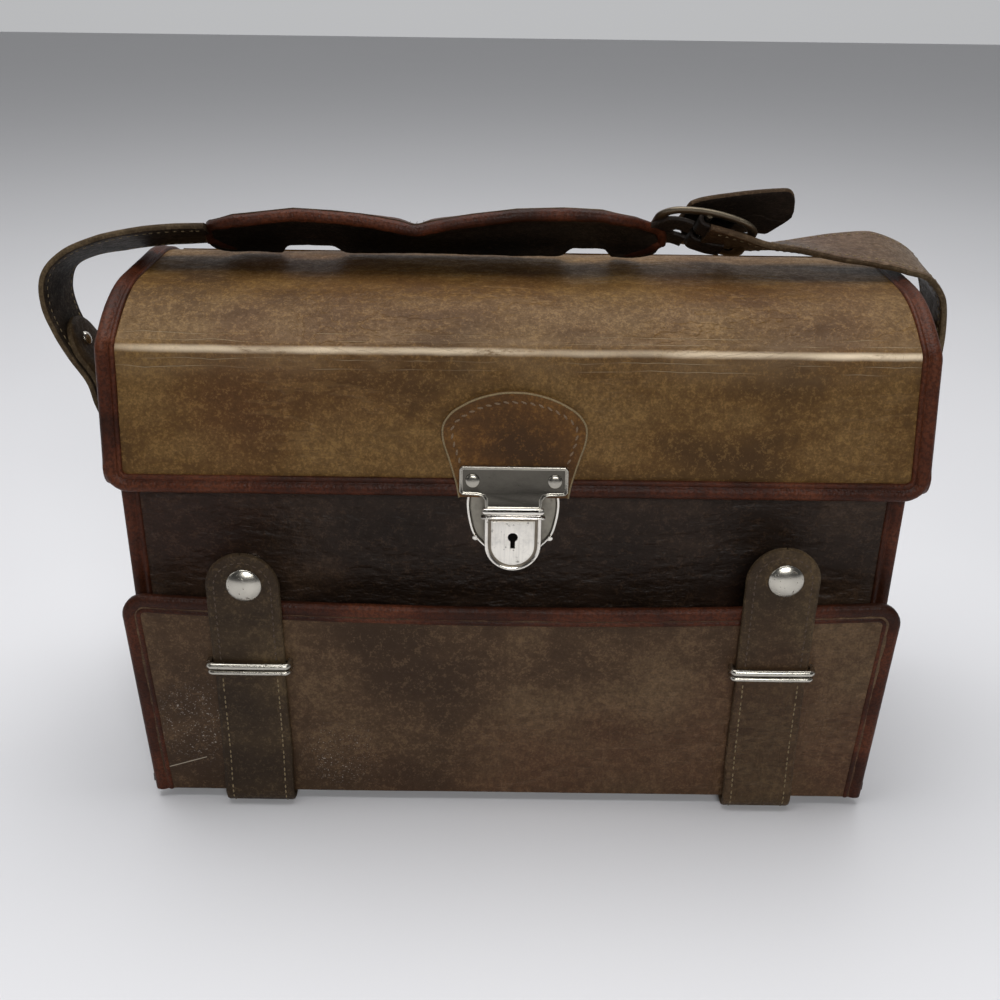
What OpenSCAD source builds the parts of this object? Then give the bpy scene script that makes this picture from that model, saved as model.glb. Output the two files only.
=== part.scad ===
/* [Case body] */
// Width across the outside of the body's end panels
case_w = 333; // [300:1:370]
// Depth from the body's front face to its back face
case_d = 126; // [112:1:145]
// Height of the body's walls
body_h = 208; // [190:1:230]
// Thickness of the leather-covered walls
wall_t = 4; // [3:0.5:5]
// Thickness of the lining
lining_t = 1.2; // [1:0.1:2]
// Width of the binding along the edges
edge_w = 7.5; // [6:0.5:9]
// Height of the binding above the leather
edge_t = 1.2; // [0.8:0.1:1.2]
// Height of the metal feet
foot_h = 4; // [3.6:0.2:7]
// Diameter of the metal feet
foot_d = 14; // [10:1:18]
// Distance from each foot's centre to the body's end, front or back
foot_in = 18; // [12:1:20]
// Thickness of the floor cushion
cushion_t = 18; // [12:1:26]
// Thickness of the padded partitions
partition_t = 10; // [6:1:14]
// Height of the padded partitions
partition_h = 150; // [110:5:160]
// Distance of the left partition from the middle
partition_left = 54; // [40:1:66]
// Distance of the right partition from the middle
partition_right = 58; // [40:1:66]

/* [Lid] */
// Side clearance between the lid's ends and the body
lid_gap = 0.5; // [0.4:0.1:1.2]
// Thickness of the lid's panels
lid_t = 3; // [2.4:0.2:3.2]
// Height of the front fold above the body's walls
fold_up = 3.7; // [3.7:0.1:6]
// Drop of the front flap from the fold to its bottom edge
flap_drop = 61.2; // [59:0.2:64]
// How far the fold stands ahead of the body's front face
fold_lead = 4; // [4:0.2:6]
// How far the flap's bottom edge stands ahead of the fold
flap_lean = 5; // [4:0.5:7]
// Rise of the arched top above the fold
arch_rise = 16.8; // [12:0.4:24]
// Depth of each sloping part of the top
arch_run = 46; // [34:1:52]
// Radius of the lid's lower corners
lid_r = 10; // [6:1:16]
// Thickness of the leather hinge at the back
hinge_t = 1.6; // [1:0.2:2.4]
// Height of the hinge strip on the body's back
hinge_h = 24; // [14:1:34]

/* [Lock] */
// Width of the lock's base plate
base_w = 39.6; // [36:0.4:44]
// Thickness of the lock's base plate
base_t = 1.2; // [0.8:0.1:1.6]
// Width of the sliding shield
slider_w = 24; // [22:0.5:27]
// Depth of the whole lock in front of the body
lock_depth = 10; // [9.6:0.1:10.4]
// Thickness of the sliding shield
slider_t = 1.8; // [1.4:0.1:1.9]
// Height of the sliding shield
slider_h = 26.6; // [26:0.2:28]
// Distance from the flap's bottom edge to the shield's top
slider_drop = 8.5; // [8.1:0.1:9]
// Width of the plate with the keyhole
key_w = 19.5; // [17:0.5:20]
// Diameter of the keyhole
keyhole_d = 4.3; // [3:0.1:5]
// Width of the hasp plate
hasp_w = 45; // [40:0.5:50]
// Height of the hasp plate
hasp_h = 12.5; // [10:0.5:14]
// Thickness of the hasp plate
hasp_t = 1.4; // [1:0.1:1.8]
// Widest part of the leather lock tab
tab_w = 60; // [54:1:64]
// Height of the leather lock tab
lock_tab_h = 45.5; // [42:0.5:48]
// Thickness of the leather lock tab
tab_t = 2; // [1.4:0.1:2.4]

/* [Pocket and front straps] */
// Width of the pocket panel at its top
pocket_w = 336; // [320:1:346]
// How much narrower the pocket panel is at its bottom
pocket_taper = 9; // [4:1:14]
// Height of the pocket panel
pocket_h = 102.8; // [94:0.4:106]
// Distance from the body's front face to the pocket's front face
pocket_lead = 15; // [13.5:0.5:18]
// Thickness of the pocket panel
pocket_t = 4; // [3:0.5:4.5]
// Radius of the pocket panel's top corners
pocket_r = 9.5; // [7:0.5:14]
// Sag of the pocket panel's top edge at its middle
pocket_sag = 4.5; // [2:0.5:7]
// Width of the straps
strap_w = 31.5; // [28:0.5:34]
// Thickness of the straps
strap_t = 3; // [2.4:0.1:3.2]
// Distance of each front strap from the middle
strap_x = 114.5; // [100:0.5:118]
// Height of the left tab above the pocket's top edge
tab_left_h = 23.2; // [21:0.2:26]
// Height of the right tab above the pocket's top edge
tab_right_h = 29.2; // [21:0.2:30]
// Diameter of the snap caps
cap_d = 15; // [12:0.5:17]
// Height of the snap caps
cap_h = 3; // [2:0.2:4]
// Height of the keepers above the pocket's bottom edge
keeper_z = 70; // [50:1:80]

/* [Shoulder strap] */
// Diameter of the ring wire
wire_d = 3.2; // [2.6:0.2:3.6]
// Height of the chapes that hold the rings
chape_h = 33; // [28:1:38]
// Distance between the ring's two bars
ring_h = 14.7; // [13.5:0.1:16]
// Lean of the rings away from the case, in degrees
ring_lean = 27.6; // [24:0.2:32]
// How far the left loop of the strap stands out past the lid
loop_left = 42; // [38:1:50]
// How far the right loop of the strap stands out past the lid
loop_right = 18; // [17:1:24]
// Height of the left loop's crown above the lid
loop_up = 15.5; // [14:0.5:20]
// Where the shoulder pad starts, left of the middle
pad_left = 134; // [120:1:138]
// Length of the shoulder pad
pad_l = 206; // [196:1:208]
// Width of the shoulder pad
pad_w = 41; // [36:1:44]
// Thickness of the shoulder pad
pad_t = 11; // [8:0.5:12]
// Length of the buckle
buckle_l = 44; // [40:1:46]
// Width of the buckle
buckle_w = 37; // [36.4:0.2:40]
// Width of the buckle's rails
rail_w = 3.6; // [2.4:0.2:4]
// Thickness of the buckle's rails
rail_t = 3; // [2:0.2:3.4]
// Length of the strap's free tail
tail_l = 43; // [30:1:46]

/* [Hidden] */
$fn = 64;

// Room left between pieces that move past each other, and under what rests
clear = 0.3;
// Clearance of a pin in its hole
pin_clear = 0.08;
half_w = case_w / 2;
bottom_z = foot_h;
wall_top = bottom_z + body_h;
floor_z = bottom_z + wall_t;

// Lid: the fold, the flap's bottom edge, the flat of the top, and its outer half width
fold_z = wall_top + fold_up;
flap_z = fold_z - flap_drop;
flat_z = fold_z + arch_rise;
lid_half = half_w + lid_gap + lid_t;
lid_inner = half_w + lid_gap;
fold_y = -fold_lead;
hinge_y = case_d + hinge_t;

// Lock, downwards from the flap's bottom edge
slider_top = flap_z - slider_drop;
slider_z = slider_top - slider_h;
cavity_z = slider_z + 1.6;
rail_x = slider_w / 2 - 2.4;
stem_z = cavity_z + 11;
key_z = slider_z + 16;
housing_face = base_t + 3.8;

// Pocket, from the bottom up
pocket_y = -pocket_lead;
pocket_back = pocket_y + pocket_t;
pocket_top = bottom_z + pocket_h;
bind_y = pocket_y - 1;
strap_y = bind_y - strap_t;
ledge_y = pocket_back + 1.3;
root_z = pocket_top + 0.2;
keeper_r = [1.5, 1];
keeper_y = strap_y - 0.1 - keeper_r[0];

// Rings on the ends
wire_r = wire_d / 2;
mid_y = case_d / 2;
chape_r = wire_r + pin_clear + 2.05;
bar_x = half_w + chape_r;
bar_z = flap_z - 19.5;
top_bar = [bar_x + ring_h * sin(ring_lean), bar_z + ring_h * cos(ring_lean)];
end_r = ring_h + 13;
strap_loop_r = wire_r + pin_clear + strap_t;

// Buckle: the middle of its bar, and its slope down to the right
buckle_x = pad_l - pad_left + 8;
buckle_z = flat_z + 19.4;
buckle_pitch = 8;

// The model is moved so that its box is centred on the origin
reach_left = lid_half + loop_left + strap_t / 2;
reach_right = lid_half + loop_right + strap_t / 2;
shift_x = (reach_left - reach_right) / 2;
shift_y = (-(keeper_y - keeper_r[0]) - hinge_y) / 2;

olive = [0.42, 0.31, 0.18];
brown = [0.24, 0.15, 0.10];
binding_red = [0.36, 0.19, 0.14];
nickel = [0.72, 0.68, 0.62];
black = [0.10, 0.09, 0.09];
cloth = [0.45, 0.38, 0.30];

// Outer height of the arched top at depth y
function arch(y) =
    let (front = (y - fold_y) / arch_run, back = (case_d - y) / arch_run, u = min(front, back, 1))
    fold_z + arch_rise * (1 - pow(1 - max(u, 0), 2));
slope_n = 8;
slope_y = [for (i = [0:slope_n]) arch_run * i / slope_n];
arch_y = concat(
    [for (s = slope_y) fold_y + s],
    [for (i = [slope_n:-1:0]) case_d - slope_y[i]]
);
function rev(list) = [for (i = [len(list) - 1:-1:0]) list[i]];
function arch_line(up) = [for (y = arch_y) [y, arch(y) + up]];
// The flap's outer face at height z, moved forward by off
function flap_y(z, off = 0) = fold_y - flap_lean * (fold_z - z) / flap_drop - off;

// A shape in Y and Z, drawn out along X from x0
module along_x(x0, length) {
    translate([x0, 0, 0]) rotate([90, 0, 90]) linear_extrude(height = length) children();
}
// A shape in X and Z, drawn out forward from the plane y = back
module plate(back, thick) {
    translate([0, back, 0]) rotate([90, 0, 0]) linear_extrude(height = thick) children();
}
module shifted() {
    translate([shift_x, shift_y, 0]) children();
}
// A rectangle from the corner x, z, with rounded corners
module round_rect(x, z, w, h, r) {
    translate([x + r, z]) square([w - 2 * r, h]);
    translate([x, z + r]) square([w, h - 2 * r]);
    for (i = [r, w - r], k = [r, h - r]) translate([x + i, z + k]) circle(r);
}
// A domed head whose flat side faces back, leaning back by lean
module dome(x, y, z, d, h, lean = 0) {
    r = (d * d / 4 + h * h) / (2 * h);
    translate([x, y, z]) rotate([90 - lean, 0, 0]) intersection() {
        translate([0, 0, h - r]) sphere(r);
        cylinder(r = d / 2, h = h + 1);
    }
}
// A slab that follows the flap, from off0 to off1 in front of its outer face
module flap_slab(off0, off1, low, high) {
    intersection() {
        plate(0, 40) children();
        along_x(-lid_half - 5, 2 * lid_half + 10) polygon([
            [flap_y(low, off1), low], [flap_y(low, off0), low],
            [flap_y(high, off0), high], [flap_y(high, off1), high]
        ]);
    }
}

// Skin over a row of rings, each a list of as many points
module skin(rings) {
    m = len(rings[0]);
    n = len(rings);
    polyhedron(
        points = [for (r = rings) each r],
        faces = concat(
            [for (k = [1:m - 2]) [0, k, k + 1]],
            [for (k = [1:m - 2]) [(n - 1) * m, (n - 1) * m + k + 1, (n - 1) * m + k]],
            [for (i = [0:n - 2], k = [0:m - 1]) [i * m + k, (i + 1) * m + k, (i + 1) * m + (k + 1) % m]],
            [for (i = [0:n - 2], k = [0:m - 1]) [i * m + k, (i + 1) * m + (k + 1) % m, i * m + (k + 1) % m]]
        )
    );
}
function unit(v) = v / norm(v);
// A ring across the direction t at c, turned by tilt; shape holds [across, up] pairs
function ring_at(c, t, tilt, shape) =
    let (side = [0, 1, 0], up = unit(cross(t, side)))
    let (w = side * cos(tilt) + up * sin(tilt), n = up * cos(tilt) - side * sin(tilt))
    [for (p = shape) c + w * p[0] + n * p[1]];
function heading(path, i) =
    let (a = path[max(i - 1, 0)], b = path[min(i + 1, len(path) - 1)])
    unit([b[0] - a[0], 0, b[2] - a[2]]);
function ribbon_shape(w, t) = [
    [w / 2, -t / 4], [w / 2, t / 4], [w / 2 - 0.8, t / 2], [0.8 - w / 2, t / 2],
    [-w / 2, t / 4], [-w / 2, -t / 4], [0.8 - w / 2, -t / 2], [w / 2 - 0.8, -t / 2]
];
// A flat strap along points [x, y, z, tilt]
module ribbon(path, w = strap_w, t = strap_t) {
    skin([for (i = [0:len(path) - 1])
        ring_at([path[i][0], path[i][1], path[i][2]], heading(path, i), path[i][3], ribbon_shape(w, t))]);
}

module bottom_panel() color(brown) shifted() {
    translate([-half_w, ledge_y, bottom_z]) cube([case_w, case_d - ledge_y, wall_t]);
}
module front_panel() color(brown) shifted() {
    translate([-half_w, 0, floor_z]) cube([case_w, wall_t, wall_top - floor_z]);
}
module back_panel() color(brown) shifted() {
    translate([-half_w, case_d - wall_t, floor_z]) cube([case_w, wall_t, wall_top - floor_z]);
}
module end_panel(x0) color(brown) shifted() {
    translate([x0, wall_t, floor_z]) cube([wall_t, case_d - 2 * wall_t, wall_top - floor_z]);
}
module left_end_panel() end_panel(-half_w);
module right_end_panel() end_panel(half_w - wall_t);
module edge_binding() color(binding_red) shifted() {
    for (x = [-half_w, half_w - edge_w])
        plate(0, edge_t) round_rect(x, floor_z, edge_w, wall_top - 8 - floor_z, 1);
}
module case_lining() color(cloth) shifted() {
    inner = half_w - wall_t;
    difference() {
        translate([-inner, wall_t, floor_z])
            cube([2 * inner, case_d - 2 * wall_t, wall_top - floor_z - 1]);
        translate([-inner + lining_t, wall_t + lining_t, floor_z + lining_t])
            cube([2 * (inner - lining_t), case_d - 2 * (wall_t + lining_t), body_h]);
        translate([-base_w / 2 - clear, wall_t - 1, slider_z - clear])
            cube([base_w + 2 * clear, lining_t + 2, flap_z + 3 - slider_z + 2 * clear]);
    }
}
room_x = half_w - wall_t - lining_t - clear;
room_y0 = wall_t + lining_t + clear;
room_y1 = case_d - room_y0;
cushion_z = floor_z + lining_t;
// A pillow outline, w across and t thick, whose sides are drawn in round
function pillow(w, t, n) = [for (k = [0:n - 1])
    let (c = cos(360 * k / n), s = sin(360 * k / n))
    [w / 2 * sign(c) * pow(abs(c), 0.35), t / 2 * sign(s) * pow(abs(s), 0.7)]];
module floor_cushion() color(cloth) shifted() {
    n = 12;
    intersection() {
        skin([for (i = [0:n])
            let (u = 2 * i / n - 1, swell = pow(1 - pow(abs(u), 6), 0.5))
            ring_at(
                [room_x * u, mid_y, cushion_z + cushion_t / 2], [1, 0, 0], 0,
                pillow((room_y1 - room_y0) * (0.9 + 0.1 * swell), cushion_t * (0.5 + 0.62 * swell), 16)
            )]);
        translate([-half_w, 0, cushion_z + 0.01]) cube([case_w, case_d, cushion_t]);
    }
}
module padded_partitions() color(cloth) shifted() {
    for (x = [-partition_left, partition_right])
        along_x(x - partition_t / 2, partition_t)
            round_rect(room_y0, cushion_z + cushion_t + clear, room_y1 - room_y0, partition_h, 6);
}
foot_spots = [for (x = [-half_w + foot_in, half_w - foot_in], y = [foot_in, case_d - foot_in]) [x, y]];
module metal_feet() color(nickel) shifted() {
    for (p = foot_spots)
        translate([p[0], p[1], 0]) rotate_extrude() polygon([
            [0, 0], [foot_d / 2 - 1.6, 0], [foot_d / 2 - 0.5, 0.8], [foot_d / 2, 2], [foot_d / 2, foot_h],
            [0, foot_h]
        ]);
}
module hinge_strip() color(olive) shifted() {
    along_x(-half_w + edge_w, case_w - 2 * edge_w)
        translate([case_d, wall_top - hinge_h]) square([hinge_t, hinge_h + 2.4]);
}

module lock_base_plate() color(nickel) shifted() {
    plate(0, base_t) round_rect(-base_w / 2, slider_z + 0.6, base_w, flap_z + 2 - slider_z, 6);
}
module lock_housing() color(nickel) shifted() {
    half = slider_w / 2 - 1;
    face = lock_depth - slider_t - 0.3;
    difference() {
        plate(-base_t, face - base_t)
            round_rect(-half, cavity_z - 2, 2 * half, slider_top + 2 - cavity_z + 2, 2);
        plate(-housing_face, face) translate([-rail_x, cavity_z]) square([2 * rail_x, slider_h + 10]);
    }
}
module lock_back_plate() color(nickel) shifted() {
    plate(wall_t + 1, 1) translate([-base_w / 2, slider_z]) square([base_w, flap_z + 3 - slider_z]);
}
module lock_rivets() color(nickel) shifted() {
    for (x = [-1, 1], z = [slider_z + 8, slider_top + 4])
        dome(x * (base_w / 2 - 4), -base_t, z, 4, 0.9);
}
spring_y = -(housing_face + lock_depth - slider_t) / 2;
module lock_spring() color(nickel) shifted() {
    translate([0, spring_y, cavity_z + 0.1]) difference() {
        cylinder(r = 1.3, h = stem_z - cavity_z - 0.3);
        translate([0, 0, -1]) cylinder(r = 0.8, h = stem_z - cavity_z + 2);
    }
}
module shield(w, h, grow = 0) {
    r = w / 2 + grow;
    translate([-r, slider_z + w / 2]) square([2 * r, h - w / 2 + grow]);
    translate([0, slider_z + w / 2]) circle(r);
}
module keyhole(grow = 0) {
    translate([0, key_z]) circle(keyhole_d / 2 + grow);
    translate([-1 - grow, key_z - 5.6 - grow]) square([2 + 2 * grow, 5.6]);
}
module lock_slider() color(nickel) shifted() {
    difference() {
        plate(slider_t - lock_depth, slider_t) shield(slider_w, slider_h);
        plate(1 - lock_depth, 2) key_outline(0.1);
        plate(1, lock_depth + 2) keyhole(0.6);
    }
    plate(-housing_face - 0.4, lock_depth - slider_t - housing_face - 0.4)
        translate([-4, stem_z]) square([8, 5.6]);
}
module key_outline(grow = 0) {
    inset = (slider_w - key_w) / 2;
    translate([-key_w / 2 - grow, slider_z + slider_w / 2])
        square([key_w + 2 * grow, slider_h - slider_w / 2 - inset + grow]);
    translate([0, slider_z + slider_w / 2]) circle(key_w / 2 + grow);
}
module key_plate() color([0.62, 0.57, 0.5]) shifted() {
    difference() {
        plate(1 - lock_depth, 0.7) key_outline();
        plate(1, lock_depth + 2) keyhole();
    }
}

cap_x = [-strap_x + 1, strap_x + 0.8];
cap_z = [root_z + tab_left_h - strap_w / 2 + 1.5, root_z + tab_right_h - strap_w / 2 + 1];
module snap_studs() color(nickel) shifted() {
    for (i = [0, 1]) {
        translate([cap_x[i], 0, cap_z[i]]) rotate([90, 0, 0]) cylinder(r = 5, h = 1.4);
        translate([cap_x[i], 0, cap_z[i]]) rotate([90, 0, 0]) cylinder(r = 2.3, h = 4.4);
        translate([cap_x[i], -3.2, cap_z[i]]) rotate([90, 0, 0]) cylinder(r = 2.9, h = 1.2);
    }
}
under_l = 62;
module under_straps() color(olive) shifted() {
    for (x = [-strap_x, strap_x])
        translate([x - strap_w / 2, pocket_back + 0.4, bottom_z - strap_t])
            cube([strap_w, under_l, strap_t]);
}
module under_strap_rivets() color(nickel) shifted() {
    for (x = [-strap_x, strap_x], k = [-9, 9])
        translate([x + k, pocket_back + under_l - 8, bottom_z - strap_t - 0.6]) cylinder(r = 3, h = 0.6);
}

// Chapes, rings and the strap's folded ends, drawn on the left and mirrored for the right
module both(side) {
    shifted() mirror([side > 0 ? 1 : 0, 0, 0]) children();
}
module chape(side) color(brown) both(side) {
    difference() {
        union() {
            translate([-half_w - 4.2, mid_y - strap_w / 2, bar_z - 3 - chape_h])
                cube([4.2, strap_w, chape_h]);
            translate([-half_w - 2.05, mid_y - strap_w / 2, bar_z - 4]) cube([2.05, strap_w, 4]);
            translate([-bar_x, mid_y - strap_w / 2, bar_z]) rotate([-90, 0, 0])
                cylinder(r = chape_r, h = strap_w);
        }
        translate([-bar_x, mid_y - strap_w, bar_z]) rotate([-90, 0, 0])
            cylinder(r = wire_r + pin_clear, h = 2 * strap_w);
    }
}
module chape_left() chape(-1);
module chape_right() chape(1);
module chape_rivets() color(nickel) {
    for (side = [-1, 1]) both(side)
        for (k = [-strap_w, strap_w] * 0.29, z = [3 + 0.27 * chape_h, 0.82 * chape_h])
            translate([-half_w - 4.2, mid_y + k, bar_z - z]) rotate([0, -90, 0])
                intersection() { translate([0, 0, -3]) sphere(4.2); cylinder(r = 3, h = 2); }
}
ring_half = strap_w / 2 + 1 + wire_r;
module bar(p, half) {
    translate([-p[0], mid_y - half, p[1]]) rotate([-90, 0, 0]) cylinder(r = wire_r, h = 2 * half);
}
module strap_ring(side) color(nickel) both(side) {
    bar([bar_x, bar_z], ring_half);
    bar(top_bar, ring_half);
    post_r = wire_r + 0.2;
    for (y = [-ring_half, ring_half])
        translate([-bar_x, mid_y + y, bar_z]) rotate([0, -ring_lean, 0])
            translate([0, 0, -post_r]) cylinder(r = post_r, h = ring_h + 2 * post_r);
}
module strap_ring_left() strap_ring(-1);
module strap_ring_right() strap_ring(1);
end_tilt = 25;
module strap_end(side) color(olive) both(side) {
    half = strap_t + 0.1;
    waist = acos(half / strap_loop_r);
    high = end_r - ring_h - clear;
    difference() {
        translate([-top_bar[0], mid_y + strap_w / 2, top_bar[1]]) rotate([90, 0, 0])
            linear_extrude(height = strap_w) rotate(end_tilt) polygon(concat(
                [[half, high], [-half, high]],
                [for (k = [0:16]) let (a = 180 - waist + (180 + 2 * waist) * k / 16)
                    strap_loop_r * [cos(a), sin(a)]]
            ));
        translate([-top_bar[0], mid_y - strap_w, top_bar[1]]) rotate([-90, 0, 0])
            cylinder(r = wire_r + pin_clear, h = 2 * strap_w);
    }
}
module strap_end_left() strap_end(-1);
module strap_end_right() strap_end(1);

module lid_top() color(olive) shifted() {
    along_x(-lid_inner, 2 * lid_inner) polygon(concat(arch_line(0), rev(arch_line(-lid_t))));
}
module flap_profile() {
    difference() {
        polygon([
            [flap_y(flap_z), flap_z], [flap_y(flap_z, -lid_t), flap_z],
            [flap_y(fold_z, -lid_t), fold_z + 2], [flap_y(fold_z), fold_z]
        ]);
        polygon(concat(arch_line(4), rev(arch_line(-lid_t))));
    }
}
module lid_flap() color(olive) shifted() {
    intersection() {
        along_x(-lid_half, 2 * lid_half) flap_profile();
        plate(0, 40) round_rect(-lid_half, flap_z, 2 * lid_half, flap_drop + 40, lid_r);
    }
}
// The end's outline: under the arch, down to the flap's bottom edge, grown or cut back by in
module end_outline(in = 0) {
    low = flap_z + in;
    back = case_d - in;
    difference() {
        union() {
            polygon(concat(
                [for (p = arch_line(-in)) [min(p[0], back), p[1]]],
                [[back, low + lid_r], [back - lid_r, low], [flap_y(low), low]]
            ));
            translate([back - lid_r, low + lid_r]) circle(lid_r);
        }
        flap_profile();
    }
}
module lid_ends() color(olive) shifted() {
    for (x = [-lid_half, lid_inner]) along_x(x, lid_t) end_outline();
}
module lid_binding() color(binding_red) shifted() {
    for (x = [-lid_half, lid_half - edge_w])
        along_x(x, edge_w) polygon(concat(arch_line(edge_t), rev(arch_line(0))));
    for (x = [-lid_half - edge_t, lid_half])
        along_x(x, edge_t) difference() {
            end_outline();
            end_outline(edge_w);
        }
    flap_slab(0, edge_t, flap_z, fold_z) difference() {
        round_rect(-lid_half, flap_z, 2 * lid_half, flap_drop + 40, lid_r);
        round_rect(-lid_half + edge_w, flap_z + edge_w, 2 * (lid_half - edge_w), flap_drop + 40, lid_r - 3);
        tab_outline();
    }
}
module lid_lining() color(cloth) shifted() {
    inside = [for (y = arch_y) if (y > wall_t + 2 && y < case_d - wall_t - 2) y];
    along_x(-half_w + wall_t + 1, 2 * (half_w - wall_t - 1)) polygon(concat(
        [for (y = inside) [y, arch(y) - lid_t]], [for (y = rev(inside)) [y, arch(y) - lid_t - lining_t]]
    ));
}
module lid_hinge_strip() color(olive) shifted() {
    band = [for (y = arch_y) if (y > case_d - hinge_h) y];
    along_x(-half_w + edge_w, case_w - 2 * edge_w) polygon(concat(
        [for (y = band) [y, arch(y)]], [for (y = rev(band)) [y, arch(y) + edge_t]]
    ));
}
module tab_outline() {
    wide_z = flap_z + 29.5;
    top_z = flap_z + lock_tab_h;
    rise = top_z - wide_z;
    r = (tab_w * tab_w / 4 + rise * rise) / (2 * rise);
    polygon([
        [-tab_w / 2 + 7, flap_z], [tab_w / 2 - 7, flap_z], [tab_w / 2, wide_z], [-tab_w / 2, wide_z]
    ]);
    intersection() {
        translate([0, top_z - r]) circle(r);
        translate([-tab_w / 2, wide_z]) square([tab_w, rise + 1]);
    }
}
module lock_tab() color(olive) shifted() {
    flap_slab(0, tab_t, flap_z, fold_z) tab_outline();
}
hasp_z = flap_z + 1.8;
lip_z = slider_top;
module hasp_plate() color(nickel) shifted() {
    flap_slab(tab_t, tab_t + hasp_t, lip_z, fold_z)
        round_rect(-hasp_w / 2, hasp_z, hasp_w, hasp_h, 1.5);
    flap_slab(tab_t, tab_t + hasp_t + 0.5, lip_z, fold_z) difference() {
        round_rect(-hasp_w / 2, hasp_z, hasp_w, hasp_h, 1.5);
        round_rect(-hasp_w / 2 + 1.2, hasp_z + 1.2, hasp_w - 2.4, hasp_h - 2.4, 1);
    }
    flap_slab(tab_t, tab_t + hasp_t, lip_z, fold_z)
        translate([-11.5, lip_z]) square([23, hasp_z - lip_z + 1]);
    flap_slab(tab_t, tab_t + hasp_t + 1, lip_z, fold_z) round_rect(-13.5, lip_z, 27, 3, 1.2);
    tongue_back = housing_face + 0.4;
    tongue_front = flap_y(lip_z, tab_t + 0.6);
    translate([-7, tongue_front, lip_z + 3]) cube([14, -tongue_back - tongue_front, 1.4]);
    translate([-7, -tongue_back - 1.1, lip_z - 2.5]) cube([14, 1.1, 6]);
}
module hasp_rivets() color(nickel) shifted() {
    mid_z = hasp_z + hasp_h / 2;
    for (x = [-17, 17])
        dome(x, flap_y(mid_z, tab_t + hasp_t + 0.02), mid_z, 6, 1.6, atan(flap_lean / flap_drop));
}

// The panel's outline, cut back by in along its sides and top
module pocket_outline(in = 0) {
    half = pocket_w / 2 - in;
    foot = (pocket_w - pocket_taper) / 2 - in;
    top = pocket_top - in;
    span = half - pocket_r;
    polygon(concat(
        [[-foot, bottom_z], [foot, bottom_z]],
        [for (k = [0:7]) [span + pocket_r * cos(90 * k / 8), top - pocket_r * (1 - sin(90 * k / 8))]],
        [for (k = [8:-1:-8]) [span * k / 8, top - pocket_sag * (1 - pow(k / 8, 2))]],
        [for (k = [7:-1:0]) [-span - pocket_r * cos(90 * k / 8), top - pocket_r * (1 - sin(90 * k / 8))]]
    ));
}
module pocket_panel() color(brown) shifted() {
    plate(pocket_back, pocket_t) pocket_outline();
}
module pocket_binding() color(binding_red) shifted() {
    plate(pocket_y, 1) difference() {
        pocket_outline();
        pocket_outline(edge_w - 0.5);
    }
    plate(pocket_y, 0.5) difference() {
        pocket_outline(edge_w + 0.5);
        pocket_outline(edge_w + 1.8);
    }
}
module pocket_gussets() color(brown) shifted() {
    inset = (pocket_w - pocket_taper) / 2 - 2.2;
    for (side = [-1, 1])
        translate([side > 0 ? inset - 1.6 : -inset, pocket_back, floor_z + clear])
            cube([1.6, -1.6 - pocket_back, pocket_h - 16]);
}
module strap_keepers() color(nickel) shifted() {
    for (x = [-strap_x, strap_x], i = [0, 1]) {
        r = keeper_r[i];
        z = bottom_z + keeper_z + (i == 0 ? 2 : -1.6);
        y = strap_y - 0.1 - r;
        reach = strap_w / 2 + 1 + r;
        translate([x - reach, y, z]) rotate([0, 90, 0]) cylinder(r = r, h = 2 * reach);
        for (s = [-reach, reach]) {
            translate([x + s, y, z]) sphere(r);
            translate([x + s, pocket_y, z]) rotate([90, 0, 0]) cylinder(r = r, h = pocket_y - y);
        }
    }
}
module front_straps() color(olive) shifted() {
    for (x = [-strap_x, strap_x])
        plate(bind_y, strap_t) translate([x - strap_w / 2, bottom_z + 0.5])
            square([strap_w, pocket_h - 0.5]);
}
module snap_tab(x, high) color(olive) shifted() {
    r = strap_w / 2;
    plate(bind_y, strap_t) {
        translate([x - r, root_z]) square([strap_w, high - r]);
        intersection() {
            translate([x, root_z + high - r]) circle(r);
            translate([x - r, root_z]) square([strap_w, high]);
        }
    }
}
module snap_tab_left() snap_tab(-strap_x, tab_left_h);
module snap_tab_right() snap_tab(strap_x, tab_right_h);
module snap_cap(i) color(nickel) shifted() {
    dome(cap_x[i], strap_y, cap_z[i], cap_d, cap_h);
    plate(bind_y + 2.5, 2.5) translate([cap_x[i], cap_z[i]]) difference() {
        circle(5);
        circle(3);
    }
}
module snap_cap_left() snap_cap(0);
module snap_cap_right() snap_cap(1);

// Shoulder strap: from the ring outwards and over the lid, as [x, y, z, tilt]
leg_gap = 0.5;
leg = [sin(end_tilt), cos(end_tilt)];
leg_x = top_bar[0] + leg[0] * 16 + 0.9 * (strap_t / 2 + 0.1);
leg_z = top_bar[1] + leg[1] * 16;
out_l = lid_half + loop_left;
out_r = lid_half + loop_right;
crown = flat_z + loop_up;
left_path = [
    [-leg_x + 6, mid_y, leg_z - 13, 0],
    [-leg_x - 4, mid_y, leg_z + 8, 0],
    [-out_l + 20, mid_y, leg_z + 19, 0],
    [-out_l + 10, mid_y, leg_z + 31, 0],
    [-out_l + 3, mid_y, leg_z + 43, 0],
    [-out_l, mid_y, leg_z + 55, 0],
    [-out_l + 3, mid_y, crown - 19, 0],
    [-out_l + 11, mid_y, crown - 9.5, 0],
    [-out_l + 23, mid_y, crown - 3.5, 0],
    [-out_l + 37, mid_y, crown - 0.7, 0],
    [-out_l + 52, mid_y, crown, 0],
    [-pad_left - 12, mid_y, crown + 1, -6],
    [-pad_left - 0.5, mid_y + 0.5, crown + 1, -18]
];
run = lid_half - buckle_x;
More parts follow.
